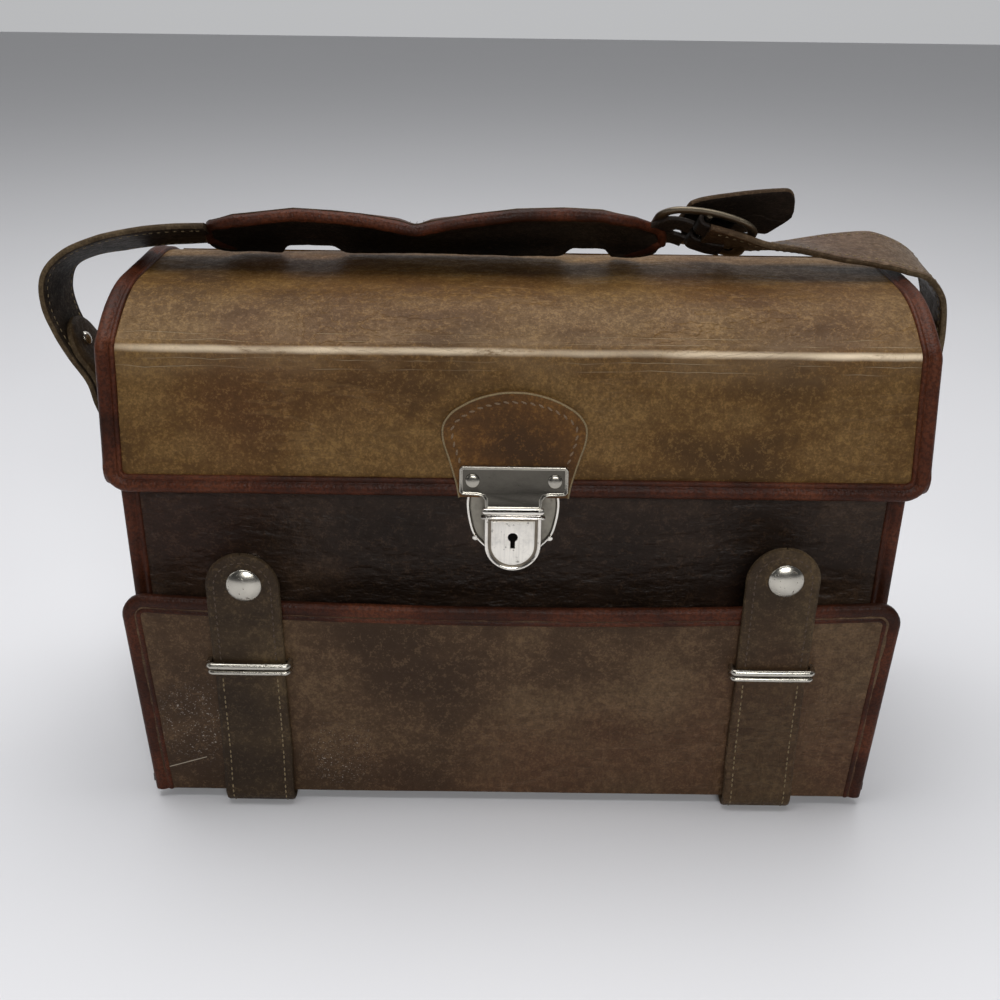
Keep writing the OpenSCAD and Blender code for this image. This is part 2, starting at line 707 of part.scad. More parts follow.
right_path = [
    [buckle_x, mid_y - 3.2, buckle_z - 4.6, -36],
    [buckle_x + 0.156 * run, mid_y - 3.2, buckle_z - 6.4, -36],
    [buckle_x + 0.289 * run, mid_y - 3, buckle_z - 8.2, -34],
    [buckle_x + 0.456 * run, mid_y - 2, flat_z + 11, -16],
    [buckle_x + 0.667 * run, mid_y - 2, flat_z + 9.5, 2],
    [buckle_x + 0.856 * run, mid_y - 2, flat_z + 9, 16],
    [lid_half, mid_y - 1, flat_z + 6.2, 10],
    [out_r - 9, mid_y, flat_z + 1.5, 4],
    [out_r - 2.5, mid_y, flat_z - 8, 0],
    [out_r, mid_y, flat_z - 22, 0],
    [out_r, mid_y, leg_z + 33, 0],
    [out_r - 2, mid_y, leg_z + 18, 0],
    [leg_x + 1, mid_y, leg_z + 4, 0],
    [leg_x - 6, mid_y, leg_z - 13, 0]
];
// What lies round the ring, grown by the gap, is cut from the strap's leg
module clear_ring(side) {
    mirror([side > 0 ? 1 : 0, 0, 0]) translate([-bar_x, mid_y - strap_w, bar_z])
        rotate([-90, 0, 0]) cylinder(r = end_r + leg_gap, h = 2 * strap_w);
}
module strap_left() color(olive) shifted() {
    difference() {
        ribbon(left_path);
        clear_ring(-1);
    }
}
module strap_right() color(olive) shifted() {
    difference() {
        ribbon(right_path);
        clear_ring(1);
    }
}
// The strap's folded ends, on the inner side of each leg
fold_shift = strap_t + 0.15;
function inner_side(path, ids) = [for (i = ids)
    let (h = heading(path, i), n = unit(cross(h, [0, 1, 0])))
    [path[i][0] - n[0] * fold_shift, path[i][1], path[i][2] - n[2] * fold_shift, 0]];
left_fold = inner_side(left_path, [0, 1, 2, 3, 4]);
right_fold = inner_side(right_path, [10, 11, 12, 13]);
module strap_folds() color(olive) shifted() {
    difference() {
        ribbon(left_fold, strap_w - 1);
        clear_ring(-1);
    }
    difference() {
        ribbon(right_fold, strap_w - 1);
        clear_ring(1);
    }
}
module strap_rivets() color(nickel) shifted() {
    for (ends = [[left_fold[3], left_fold[4]], [right_fold[1], right_fold[0]]]) {
        along = unit([ends[1][0] - ends[0][0], 0, ends[1][2] - ends[0][2]]);
        n = [along[2] * sign(-ends[0][0]), 0, abs(along[0])];
        spot = ends[0] + (ends[1] - ends[0]) * 0.3;
        translate([spot[0], spot[1], spot[2]] + n * (strap_t / 2 + 0.02)) rotate([0, atan2(n[0], n[2]), 0])
            intersection() {
                translate([0, 0, -3]) sphere(4.4);
                cylinder(r = 3.2, h = 2);
            }
    }
}

// Shoulder pad: two humps with a crease between them, its far edge resting on the lid
seat_z = flat_z + clear;
function pad_turn(u) = let (s = abs(cos(180 * (u - 0.457) / (u < 0.457 ? 0.457 : 0.543))))
    u < 0.08 ? -22 - 130 * u : (u > 0.9 ? -36 + 110 * (u - 0.9) : -40 + 14 * pow(s, 8));
function pad_wide(u) = pad_w * (u < 0.06 ? 0.84 + 2.4 * u : (u > 0.86 ? 1 - 1.6 * (u - 0.86) : 1));
function pad_thick(u) = let (crease = exp(-pow((u - 0.457) / 0.03, 2)))
    pad_t * min(1, 0.5 + 6 * u, 0.42 + 3.6 * (1 - u)) * (1 - 0.25 * crease);
function pad_shape(w, t) = [for (k = [0:19])
    let (c = cos(18 * k), s = sin(18 * k))
    [w / 2 * sign(c) * pow(abs(c), 0.6), t / 2 * sign(s) * pow(abs(s), 0.8)]];
module shoulder_pad() color(binding_red) shifted() {
    n = 30;
    skin([for (i = [0:n])
        let (u = i / n, x = -pad_left + pad_l * u)
        let (shape = pad_shape(pad_wide(u), pad_thick(u)))
        let (flat_ring = ring_at([x, mid_y + 1.5, 0], [1, 0, 0], pad_turn(u), shape))
        let (low = min([for (p = flat_ring) p[2]]), lift = u < 0.1 ? 60 * (0.1 - u) : 0)
        [for (p = flat_ring) p + [0, 0, seat_z + lift - low]]]);
}

// Buckle, in its own tilted plane: its bar lies across the middle
module in_buckle() {
    translate([buckle_x, mid_y - 1, buckle_z]) rotate([0, buckle_pitch, 0]) rotate([-36, 0, 0]) children();
}
bar_r = 1.4;
module buckle_frame() color([0.4, 0.38, 0.36]) shifted() in_buckle() {
    in_l = buckle_l - 2 * rail_w;
    in_w = buckle_w - 2 * rail_w;
    translate([0, 0, -rail_t / 2]) linear_extrude(height = rail_t) difference() {
        round_rect(-buckle_l / 2, -buckle_w / 2, buckle_l, buckle_w, 8);
        round_rect(-in_l / 2, -in_w / 2, in_l, in_w, 5);
    }
    translate([0, rail_w - buckle_w / 2 - 1, 0]) rotate([-90, 0, 0])
        cylinder(r = bar_r, h = buckle_w - 2 * rail_w + 2);
}
module buckle_prong() color(nickel) shifted() in_buckle() {
    tip = buckle_l / 2 - 0.4;
    difference() {
        union() {
            translate([0, -2, 0]) rotate([-90, 0, 0]) cylinder(r = bar_r + 1.3, h = 4);
            translate([0, -1.2, 0.8]) cube([tip - rail_w - 3, 2.4, 1.8]);
            translate([tip - rail_w - 4, -1.2, rail_t / 2 + 0.1]) cube([rail_w + 4, 2.4, 1.1]);
        }
        translate([0, -5, 0]) rotate([-90, 0, 0]) cylinder(r = bar_r + pin_clear, h = 10);
    }
}
tail_path = [
    [buckle_x - 1, mid_y + 1.8, buckle_z + 3.6, -36],
    [buckle_x + 0.25 * tail_l, mid_y + 2.6, buckle_z + 5, -37.5],
    [buckle_x + 0.5 * tail_l, mid_y + 2, buckle_z + 7.2, -41],
    [buckle_x + 0.75 * tail_l, mid_y + 1, buckle_z + 8.8, -47],
    [buckle_x + tail_l, mid_y, buckle_z + 10.4, -51]
];
module strap_tail() color(olive) shifted() {
    ribbon(tail_path);
}

bottom_panel();
front_panel();
back_panel();
left_end_panel();
right_end_panel();
edge_binding();
case_lining();
floor_cushion();
padded_partitions();
metal_feet();
hinge_strip();
lock_base_plate();
lock_housing();
lock_back_plate();
lock_rivets();
lock_spring();
lock_slider();
key_plate();
snap_studs();
under_straps();
under_strap_rivets();
chape_left();
chape_right();
chape_rivets();
strap_ring_left();
strap_ring_right();
strap_end_left();
strap_end_right();
lid_top();
lid_flap();
lid_ends();
lid_binding();
lid_lining();
lid_hinge_strip();
lock_tab();
hasp_plate();
hasp_rivets();
pocket_panel();
pocket_binding();
pocket_gussets();
strap_keepers();
front_straps();
snap_tab_left();
snap_cap_left();
snap_tab_right();
snap_cap_right();
strap_left();
strap_right();
strap_folds();
strap_rivets();
shoulder_pad();
strap_tail();
buckle_frame();
buckle_prong();
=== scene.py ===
import math
import bpy
from mathutils import Matrix, Vector
from mathutils.noise import noise as wobble


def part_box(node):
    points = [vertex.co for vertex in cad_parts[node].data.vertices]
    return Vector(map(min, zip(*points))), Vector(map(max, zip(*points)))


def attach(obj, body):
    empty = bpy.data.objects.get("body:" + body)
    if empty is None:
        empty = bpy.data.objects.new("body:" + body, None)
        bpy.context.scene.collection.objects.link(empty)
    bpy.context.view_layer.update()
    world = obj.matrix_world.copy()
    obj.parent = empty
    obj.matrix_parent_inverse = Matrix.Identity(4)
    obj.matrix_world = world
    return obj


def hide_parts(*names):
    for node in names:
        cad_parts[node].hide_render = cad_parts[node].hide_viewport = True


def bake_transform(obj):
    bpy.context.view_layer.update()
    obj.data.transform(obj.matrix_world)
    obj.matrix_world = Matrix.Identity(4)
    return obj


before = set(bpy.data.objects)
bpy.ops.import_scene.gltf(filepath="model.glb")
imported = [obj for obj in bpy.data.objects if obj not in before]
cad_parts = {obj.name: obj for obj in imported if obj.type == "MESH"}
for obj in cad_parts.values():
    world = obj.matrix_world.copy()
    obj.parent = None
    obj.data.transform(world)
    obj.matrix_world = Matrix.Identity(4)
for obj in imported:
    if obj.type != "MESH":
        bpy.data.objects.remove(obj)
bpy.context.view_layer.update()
print("frame loaded")

# Everything below is drawn in millimetres from the case's middle, its front face and the table
panelLow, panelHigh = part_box("front_panel")
toFrame = Matrix.Translation(((panelLow.x + panelHigh.x) / 2, panelLow.y, 0)) @ Matrix.Scale(0.001, 4)
toDrawing = toFrame.inverted()


def drawn(node):
    low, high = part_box(node)
    return toDrawing @ low, toDrawing @ high


def spot(x, y, z):
    return toFrame @ Vector((x, y, z))


sideNames = {-1: "Left", 1: "Right"}
xWay, yWay, zWay = Vector((1, 0, 0)), Vector((0, 1, 0)), Vector((0, 0, 1))

halfCase = drawn("front_panel")[1].x
caseDepth = drawn("back_panel")[1].y
wallTop = drawn("front_panel")[1].z
halfLid = drawn("lid_flap")[1].x
flapLow = drawn("lid_flap")[0].z
lidFlat = drawn("lid_top")[1].z
midY = caseDepth / 2

# Camera, floor and light
camera = {"place": (-5.6, -460, 370.6), "tilt": 64.2, "roll": 0.75, "lens": 43.2}
lamps = {
    "ceiling": {"place": (-60, 250, 1500), "size": (1500, 1100), "power": 19, "aim": (0, 60, 150)},
    "front": {"place": (150, -1500, 1000), "size": (900, 500), "power": 13.5, "aim": (0, 0, 120)},
    "side": {"place": (-1300, -200, 700), "size": (600, 600), "power": 0.8, "aim": (0, 50, 120)},
}
table = {"front": -900, "back": 4000, "half": 4000}
# The room is dark in front and below, and pale above
room = {
    "tip": 50, "turn": -90,
    "shades": [(0.0, 0.02), (0.40, 0.06), (0.60, 0.34), (0.78, 0.42), (1.0, 0.50)],
}


def clearSelection():
    if bpy.context.object and bpy.context.object.mode != "OBJECT":
        bpy.ops.object.mode_set(mode="OBJECT")
    bpy.ops.object.select_all(action="DESELECT")


def makeCamera():
    clearSelection()
    bpy.ops.object.camera_add(location=spot(*camera["place"]))
    eye = bpy.context.object
    tilt = Matrix.Rotation(math.radians(camera["tilt"]), 3, "X")
    roll = Matrix.Rotation(math.radians(camera["roll"]), 3, "Z")
    eye.rotation_euler = (tilt @ roll).to_euler()
    eye.data.lens = camera["lens"]
    eye.data.sensor_width = 36
    bpy.context.scene.camera = eye


def makeLamps():
    for name, lamp in lamps.items():
        clearSelection()
        place = spot(*lamp["place"])
        bpy.ops.object.light_add(type="AREA", location=place)
        light = bpy.context.object
        light.name = name + "Lamp"
        light.rotation_euler = (spot(*lamp["aim"]) - place).to_track_quat("-Z", "Y").to_euler()
        light.data.shape = "RECTANGLE"
        light.data.size, light.data.size_y = lamp["size"][0] / 1000, lamp["size"][1] / 1000
        light.data.energy = lamp["power"]
    world = bpy.data.worlds.new("softRoom")
    world.use_nodes = True
    tree = world.node_tree
    way, aim = tree.nodes.new("ShaderNodeTexCoord"), tree.nodes.new("ShaderNodeMapping")
    fade, shades = tree.nodes.new("ShaderNodeTexGradient"), tree.nodes.new("ShaderNodeValToRGB")
    aim.inputs["Location"].default_value = (0.5, 0, 0)
    aim.inputs["Rotation"].default_value = (0, math.radians(room["tip"]), math.radians(room["turn"]))
    aim.inputs["Scale"].default_value = (0.5, 0.5, 0.5)
    while len(shades.color_ramp.elements) < len(room["shades"]):
        shades.color_ramp.elements.new(0.5)
    for stop, (where, shade) in zip(shades.color_ramp.elements, room["shades"]):
        stop.position, stop.color = where, (shade, shade * 1.01, shade * 1.03, 1)
    tree.links.new(way.outputs["Generated"], aim.inputs["Vector"])
    tree.links.new(aim.outputs["Vector"], fade.inputs["Vector"])
    tree.links.new(fade.outputs["Fac"], shades.inputs["Fac"])
    tree.links.new(shades.outputs["Color"], tree.nodes["Background"].inputs["Color"])
    bpy.context.scene.world = world
    bpy.context.scene.view_settings.view_transform = "Standard"


# Shader maths written as Python sums: a Wire is one socket's output
class Wire:
    def __init__(self, finish, socket):
        self.finish, self.socket = finish, socket

    def sum(self, kind, first, second):
        return self.finish.node("ShaderNodeMath", {"operation": kind}, {0: first, 1: second})

    def __add__(self, other):
        return self.sum("ADD", self, other)

    def __mul__(self, other):
        return self.sum("MULTIPLY", self, other)

    def __sub__(self, other):
        return self.sum("SUBTRACT", self, other)

    def __rsub__(self, other):
        return self.sum("SUBTRACT", other, self)

    def __pow__(self, other):
        return self.sum("POWER", self, other)

    __radd__ = __add__
    __rmul__ = __mul__

    def held(self, low, high):
        return self.finish.node("ShaderNodeClamp", {}, {"Value": self, "Min": low, "Max": high})

    def between(self, low, high):  # 0 at low, 1 at high, smooth
        values = {"Value": self, "From Min": low, "From Max": high}
        return self.finish.node("ShaderNodeMapRange", {"interpolation_type": "SMOOTHSTEP"}, values)


class Finish:
    def __init__(self, name, **fixed):
        self.material = bpy.data.materials.new(name)
        self.material.use_nodes = True
        self.tree = self.material.node_tree
        self.shader = self.tree.nodes["Principled BSDF"]
        for socket, value in fixed.items():
            self.shader.inputs[socket.replace("_", " ")].default_value = value
        self.place = self.node("ShaderNodeTexCoord", {}, {}, "Object")

    def node(self, kind, settings, values, output=0):
        made = self.tree.nodes.new(kind)
        for key, value in settings.items():
            if key == "stops":
                while len(made.color_ramp.elements) < len(value):
                    made.color_ramp.elements.new(0.5)
                for stop, (where, colour) in zip(made.color_ramp.elements, value):
                    stop.position, stop.color = where, (*colour, 1)
            else:
                setattr(made, key, value)
        for key, value in values.items():
            if isinstance(value, Wire):
                self.tree.links.new(value.socket, made.inputs[key])
            else:
                made.inputs[key].default_value = value
        return Wire(self, made.outputs[output])

    def stretched(self, stretch, turn=(0, 0, 0)):
        return self.node("ShaderNodeMapping", {}, {"Vector": self.place, "Scale": stretch, "Rotation": turn})

    def cloud(self, scale, detail=3.0, rough=0.55, stretch=(1, 1, 1), turn=(0, 0, 0)):
        place = self.stretched(stretch, turn)
        values = {"Vector": place, "Scale": scale, "Detail": detail, "Roughness": rough}
        return self.node("ShaderNodeTexNoise", {}, values)

    def cells(self, scale, stretch=(1, 1, 1)):
        return self.node("ShaderNodeTexVoronoi", {}, {"Vector": self.stretched(stretch), "Scale": scale})

    def axis(self, name):
        return self.node("ShaderNodeSeparateXYZ", {}, {"Vector": self.place}, name)

    def mix(self, factor, first, second):
        first, second = [c if isinstance(c, Wire) else (*c, 1) for c in (first, second)]
        return self.node("ShaderNodeMix", {"data_type": "RGBA"}, {0: factor, 6: first, 7: second}, 2)

    def ramp(self, value, *stops):
        return self.node("ShaderNodeValToRGB", {"stops": stops}, {"Fac": value})

    def bump(self, height, distance):
        return self.node("ShaderNodeBump", {}, {"Height": height, "Distance": distance, "Strength": 1.0})

    def feed(self, **links):
        for socket, value in links.items():
            self.tree.links.new(value.socket, self.shader.inputs[socket.replace("_", " ")])
        return self.material


# Leather, binding, metal and cloth
leathers = {
    "lid": {
        "dark": (0.055, 0.026, 0.007), "mid": (0.132, 0.068, 0.018), "light": (0.200, 0.115, 0.038),
        "red": (0.105, 0.040, 0.013), "gloss": 0.36, "crease": 1.0, "scuff": 0.5,
    },
    "body": {
        "dark": (0.014, 0.008, 0.005), "mid": (0.028, 0.016, 0.010), "light": (0.058, 0.034, 0.020),
        "red": (0.038, 0.014, 0.008), "gloss": 0.34, "crease": 3.8, "scuff": 0.1,
    },
    "pocket": {
        "dark": (0.036, 0.019, 0.009), "mid": (0.080, 0.045, 0.022), "light": (0.125, 0.076, 0.038),
        "red": (0.088, 0.034, 0.016), "gloss": 0.36, "crease": 0.8, "scuff": 0.3,
        "scratch": ((-157, 16.5), (-139, 22.5)), "dust": ((-140, 42, 26), (-76, 26, 22)),
        "scratchColour": (0.34, 0.29, 0.22), "dustColour": (0.30, 0.27, 0.24),
    },
    "strap": {
        "dark": (0.024, 0.014, 0.007), "mid": (0.052, 0.032, 0.015), "light": (0.090, 0.058, 0.027),
        "red": (0.060, 0.024, 0.011), "gloss": 0.38, "crease": 0.7, "scuff": 0.35,
    },
    "upper": {
        "dark": (0.040, 0.024, 0.013), "mid": (0.085, 0.053, 0.030), "light": (0.150, 0.100, 0.060),
        "red": (0.085, 0.036, 0.020), "gloss": 0.34, "crease": 0.9, "scuff": 0.5,
    },
    "raw": {
        "dark": (0.028, 0.017, 0.008), "mid": (0.060, 0.039, 0.019), "light": (0.115, 0.080, 0.042),
        "red": (0.06, 0.027, 0.013), "gloss": 0.6, "crease": 0.5, "scuff": 0.4,
    },
    "tab": {
        "dark": (0.045, 0.020, 0.006), "mid": (0.110, 0.048, 0.012), "light": (0.175, 0.082, 0.020),
        "red": (0.135, 0.044, 0.011), "gloss": 0.36, "crease": 0.4, "scuff": 0.15,
    },
    "inner": {
        "dark": (0.010, 0.007, 0.005), "mid": (0.026, 0.018, 0.011), "light": (0.054, 0.037, 0.024),
        "red": (0.032, 0.017, 0.010), "gloss": 0.55, "crease": 0.6, "scuff": 0.2,
    },
    "under": {
        "dark": (0.006, 0.005, 0.004), "mid": (0.014, 0.010, 0.007), "light": (0.030, 0.021, 0.015),
        "red": (0.018, 0.010, 0.007), "gloss": 0.45, "crease": 0.6, "scuff": 0.1,
    },
}
# The lid's front fold: pale rubbed wear plus a painted highlight along the crease, a paler band (halo) beside
# it that is part of the painted highlight, and thin real cracks alongside
foldWearAndHighlight = {
    "y": -4, "z": 215.7, "fade": (-166, -112), "cracks": ((0.0042, 30), (0.0078, 24)),
    "pale": (0.86, 0.70, 0.50), "halo": (0.23, 0.15, 0.08), "crack": (0.36, 0.26, 0.15),
}


def leather(name, look, foldWearAndLight=None):
    skin = Finish(name, Specular_IOR_Level=0.16)
    axes = skin.axis("X"), skin.axis("Y"), skin.axis("Z")
    patches = skin.cloud(11, 4, 0.62)
    streaks = skin.cloud(34, 3, 0.6, (0.45, 1, 1))
    tone = (patches * 0.6 + streaks * 0.4).between(0.38, 0.63)
    colour = skin.ramp(tone, (0.0, look["dark"]), (0.5, look["mid"]), (1.0, look["light"]))
    blush = skin.cloud(7, 2, 0.5, (1, 1, 1.4)).between(0.50, 0.68)
    colour = skin.mix(blush * 0.6, colour, look["red"])
    coarse, grain = skin.cloud(330, 4, 0.75), skin.cloud(1000, 2, 0.7)
    fleck = (coarse * 0.6 + grain * 0.4).between(0.38, 0.62)
    colour = skin.mix((1 - fleck) * 0.62, colour, look["dark"])
    colour = skin.mix(fleck.between(0.7, 1.0) * 0.35, colour, [c * 1.25 for c in look["light"]])
    # fine cracks that run along and across
    ridge = skin.cloud(24, 5, 0.62, (0.4, 1, 1.25), (0.1, 0.35, 0)) - 0.5
    where = skin.cloud(10, 2, 0.5).between(0.47, 0.60)
    line = (1 - (ridge * ridge).between(0.0, 0.00035)) * where
    cross = skin.cloud(75, 3, 0.6, (1.4, 1, 0.45), (0, 0.4, 0)) - 0.5
    crossLine = 1 - (cross * cross).between(0.0, 0.0012)
    where = skin.cloud(8, 2, 0.5, (1.3, 1, 1)).between(0.54, 0.64)
    line = line + crossLine * where * 0.7
    scuffs = skin.cloud(60, 6, 0.85, (0.5, 1, 2.2), (0.2, 0.5, 0.3)).between(0.64, 0.76)
    pale = [min(1, c * 1.7 + 0.01) for c in look["light"]]
    colour = skin.mix((scuffs * look["scuff"] * 0.8 + line * 0.10).held(0, 1), colour, pale)
    wrinkle = skin.cloud(62, 4, 0.6, (0.5, 1, 1.2), (0, 0.25, 0)).between(0.30, 0.62)
    fine = skin.cloud(260, 2, 0.6, (0.7, 1, 1.1), (0, 0.5, 0))
    height = (wrinkle * 0.6 + fine * 0.3) * look["crease"] + coarse * 0.5 + grain * 0.4 - line * 0.5
    rough = look["gloss"] + (1 - fleck) * 0.16 + (1 - tone) * 0.06
    if foldWearAndLight:
        colour, height, rough = paintFoldWearAndHighlight(skin, axes, foldWearAndLight, colour, height, rough)
    if "scratch" in look:
        colour = scratched(skin, axes, look, colour)
    return skin.feed(Base_Color=colour, Roughness=rough, Normal=skin.bump(height, 0.00045))


# paints the fold's wear together with its highlight into the colour
def paintFoldWearAndHighlight(skin, axes, foldWearAndLight, colour, height, rough):  # the pale crease along the lid's front fold
    x, y, z = axes
    edge = spot(0, foldWearAndLight["y"], foldWearAndLight["z"])
    drift = skin.cloud(22, 3, 0.6, (1, 0.2, 0.2)) * 0.0022 - 0.0011
    away = ((z - edge.z + drift) ** 2 + (y - edge.y) * (y - edge.y)) ** 0.5
    part = skin.cloud(9, 2, 0.5, (1, 0, 0)).between(0.38, 0.58) * 0.65 + 0.35
    # core: pale wear and a painted highlight right on the crease
    core = 1 - away.between(0.0003, 0.0024)
    broken = skin.cloud(120, 5, 0.8, (0.4, 1, 1)).between(0.22, 0.46)
    rubbed = core * broken * part
    faint, full = [spot(a, 0, 0).x for a in foldWearAndLight["fade"]]
    rubbed = rubbed * (x.between(faint, full) * 0.55 + 0.45)
    # halo: a paler band beside the crease, part of the painted highlight
    halo = (1 - away.between(0.002, 0.018)) * skin.cloud(40, 4, 0.7, (0.5, 1, 1)).between(0.35, 0.7)
    colour = skin.mix(halo * 0.40, colour, foldWearAndLight["halo"])
    for far, sway in foldWearAndLight["cracks"]:
        beside = away - far + skin.cloud(sway, 3, 0.6, (1, 0.1, 0.1)) * 0.0036 - 0.0018
        crack = 1 - (beside * beside).between(0.0, 0.00000006)
        broken = skin.cloud(14 + sway, 2, 0.5, (0.5, 0, 0)).between(0.46, 0.58)
        thin = crack * broken
        colour = skin.mix(thin * 0.7, colour, foldWearAndLight["crack"])
        height = height - thin * 0.8
    return skin.mix(rubbed, colour, foldWearAndLight["pale"]), height, rough + rubbed * 0.15


def scratched(skin, axes, look, colour):  # one long pale scratch, and dust near the pocket's corner
    x, y, z = axes
    first, second = [spot(a, 0, b) for a, b in look["scratch"]]
    long = (second - first).length
    way = (second - first) / long
    along = ((x - first.x) * way.x + (z - first.z) * way.z).held(0, long)
    offX, offZ = x - first.x - along * way.x, z - first.z - along * way.z
    line = 1 - (offX * offX + offZ * offZ).between(0.0, 0.0000001)
    colour = skin.mix(line, colour, look["scratchColour"])
    for a, b, reach in look["dust"]:
        centre = spot(a, 0, b)
        offX, offZ = x - centre.x, z - centre.z
        near = 1 - (offX * offX + offZ * offZ).between(0.0, (reach / 1000) ** 2)
        colour = skin.mix(skin.cloud(1300, 2, 0.5).between(0.64, 0.70) * near, colour, look["dustColour"])
    return colour


def bindingVinyl():
    skin = Finish("bindingVinyl", Specular_IOR_Level=0.13)
    patches = skin.cloud(26, 4, 0.6).between(0.35, 0.65)
    shades = (0.0, (0.030, 0.009, 0.004)), (0.55, (0.066, 0.017, 0.007)), (1.0, (0.100, 0.029, 0.012))
    colour = skin.ramp(patches, *shades)
    grains = skin.cells(1150)
    speck = skin.cloud(700, 2, 0.6)
    rubbed = skin.cloud(90, 5, 0.8).between(0.58, 0.74)
    colour = skin.mix(rubbed * 0.25, colour, (0.14, 0.052, 0.026))
    colour = skin.mix((1 - speck.between(0.38, 0.6)) * 0.5, colour, (0.014, 0.005, 0.003))
    relief = skin.bump(grains * 0.8 + speck * 0.3 + skin.cloud(150, 3, 0.6) * 0.5, 0.00018)
    return skin.feed(Base_Color=colour, Roughness=0.32 + speck * 0.2, Normal=relief)


def nickel(name, tint, brushed=0.0, dull=0.0, pits=0.5):
    metal = Finish(name, Metallic=1.0)
    smear = metal.cloud(160, 5, 0.7)
    lines = metal.cloud(900, 3, 0.7, (1, 0.08, 0.06) if brushed else (1, 1, 1))
    spots = metal.cloud(520, 2, 0.5).between(0.66, 0.74) * pits
    colour = metal.mix(smear.between(0.45, 0.75) * (0.25 + dull * 0.6), tint, [c * 0.55 for c in tint])
    colour = metal.mix(lines.between(0.4, 0.75) * brushed * 0.45, colour, [c * 0.45 for c in tint])
    colour = metal.mix(spots, colour, (0.09, 0.07, 0.05))
    rough = 0.14 + dull * 0.22 + smear * 0.18 + lines * brushed * 0.22 + spots * 0.4
    relief = metal.bump(lines * (0.25 + brushed) + smear * 0.3 - spots * 1.5, 0.00006)
    return metal.feed(Base_Color=colour, Roughness=rough, Normal=relief)


def thread(name, colour):
    yarn = Finish(name, Sheen_Weight=0.1)
    twist = yarn.cells(2600, (1, 1, 0.5))
    shade = yarn.mix(twist.between(0.1, 0.6), [c * 0.45 for c in colour], colour)
    return yarn.feed(Base_Color=shade, Roughness=0.75 + twist * 0.1, Normal=yarn.bump(twist, 0.00025))


def cloth(name, colour, weave=1500, plush=0.0):
    fabric = Finish(name, Sheen_Weight=0.35, Sheen_Roughness=0.5)
    values = {"Vector": fabric.place, "Scale": weave * 0.32, "Distortion": 0.6}
    warp = fabric.node("ShaderNodeTexWave", {"bands_direction": "X"}, values)
    weft = fabric.node("ShaderNodeTexWave", {"bands_direction": "Z"}, values)
    fuzz = fabric.cloud(800, 4, 0.75)
    knit = warp * weft * (1 - plush) + fuzz * (0.3 + plush)
    shade = fabric.mix(knit.between(0.1, 0.8), [c * 0.55 for c in colour], colour)
    shade = fabric.mix(fabric.cloud(18, 3, 0.6).between(0.4, 0.7) * 0.4, shade, [c * 0.7 for c in colour])
    return fabric.feed(Base_Color=shade, Roughness=0.86 + knit * 0.08, Normal=fabric.bump(knit, 0.0004))


# Painted shade: a near-black matte finish set in the keyhole and in the hasp's slot, where there is only
# shade
def darkGap():
    gap = Finish("keywayShade", Specular_IOR_Level=0.05)
    shadeNoise = gap.cloud(900, 2, 0.5)
    shade = gap.mix(shadeNoise, (0.002, 0.002, 0.002), (0.005, 0.004, 0.003))
    return gap.feed(Base_Color=shade, Roughness=0.85 + shadeNoise * 0.1)


def floorPaint():
    paint = Finish("floorPaint", Specular_IOR_Level=0.3)
    faint = paint.cloud(4, 3, 0.5)
    shade = paint.mix(faint, (0.74, 0.74, 0.765), (0.78, 0.78, 0.80))
    return paint.feed(Base_Color=shade, Roughness=0.42 + faint * 0.1)


makeCamera()
makeLamps()
finishes = {
    "lid": leather("lidLeather", leathers["lid"], foldWearAndHighlight),
    "body": leather("bodyLeather", leathers["body"]),
    "pocket": leather("pocketLeather", leathers["pocket"]),
    "strap": leather("strapLeather", leathers["strap"]),
    "tab": leather("tabLeather", leathers["tab"]),
    "under": leather("underLeather", leathers["under"]),
    "inner": leather("strapInnerLeather", leathers["inner"]),
    "binding": bindingVinyl(),
    "nickel": nickel("wornNickel", (0.80, 0.76, 0.69)),
    "brushed": nickel("brushedNickel", (0.94, 0.90, 0.82), 0.7, 0.35),
    "rim": nickel("rimNickel", (0.42, 0.395, 0.34), 0.0, 0.1, 0.1),
    # the hasp's field: nickel darkened to a painted dark reflection
    "plate": nickel("haspFieldPaintedReflection", (0.105, 0.096, 0.08), 0.0, 0.05, 0.06),
    # the base plate's recessed field: nickel darkened to a painted dark reflection
    "wing": nickel("wingFieldPaintedReflection", (0.25, 0.23, 0.19), 0.0, 0.5, 0.3),
    "dull": nickel("dullMetal", (0.21, 0.18, 0.14), 0.2, 0.8, 0.3),
    "buckle": nickel("buckleMetal", (0.17, 0.14, 0.10), 0.1, 0.7, 0.8),
    "gapShade": darkGap(),
    "upper": leather("strapUpperLeather", leathers["upper"]),
    "raw": leather("rawLeatherEdge", leathers["raw"]),
    "stitchThread": thread("stitchThread", (0.20, 0.13, 0.07)),
    "cap": nickel("capNickel", (0.54, 0.51, 0.445), 0.0, 0.1, 0.9),
    "oliveThread": thread("oliveThread", (0.24, 0.175, 0.085)),
    "darkThread": thread("darkThread", (0.070, 0.040, 0.022)),
    "cloth": cloth("liningCloth", (0.20, 0.155, 0.11)),
    "plush": cloth("paddingPlush", (0.24, 0.185, 0.13), 900, 0.6),
}
print("camera, light and finishes made")


# Modelling helpers
def named(name):
    piece = bpy.context.object
    piece.name = piece.data.name = name
    return piece


def selected(piece):
    clearSelection()
    piece.select_set(True)
    bpy.context.view_layer.objects.active = piece
    return piece


def sheet(name, across, along, place):  # a grid bent to shape; place takes 0..1 each way
    clearSelection()
    bpy.ops.mesh.primitive_grid_add(x_subdivisions=across, y_subdivisions=along, size=2)
    piece = named(name)
    for point in piece.data.vertices:
        point.co = place((point.co.x + 1) / 2, (point.co.y + 1) / 2)
    return piece


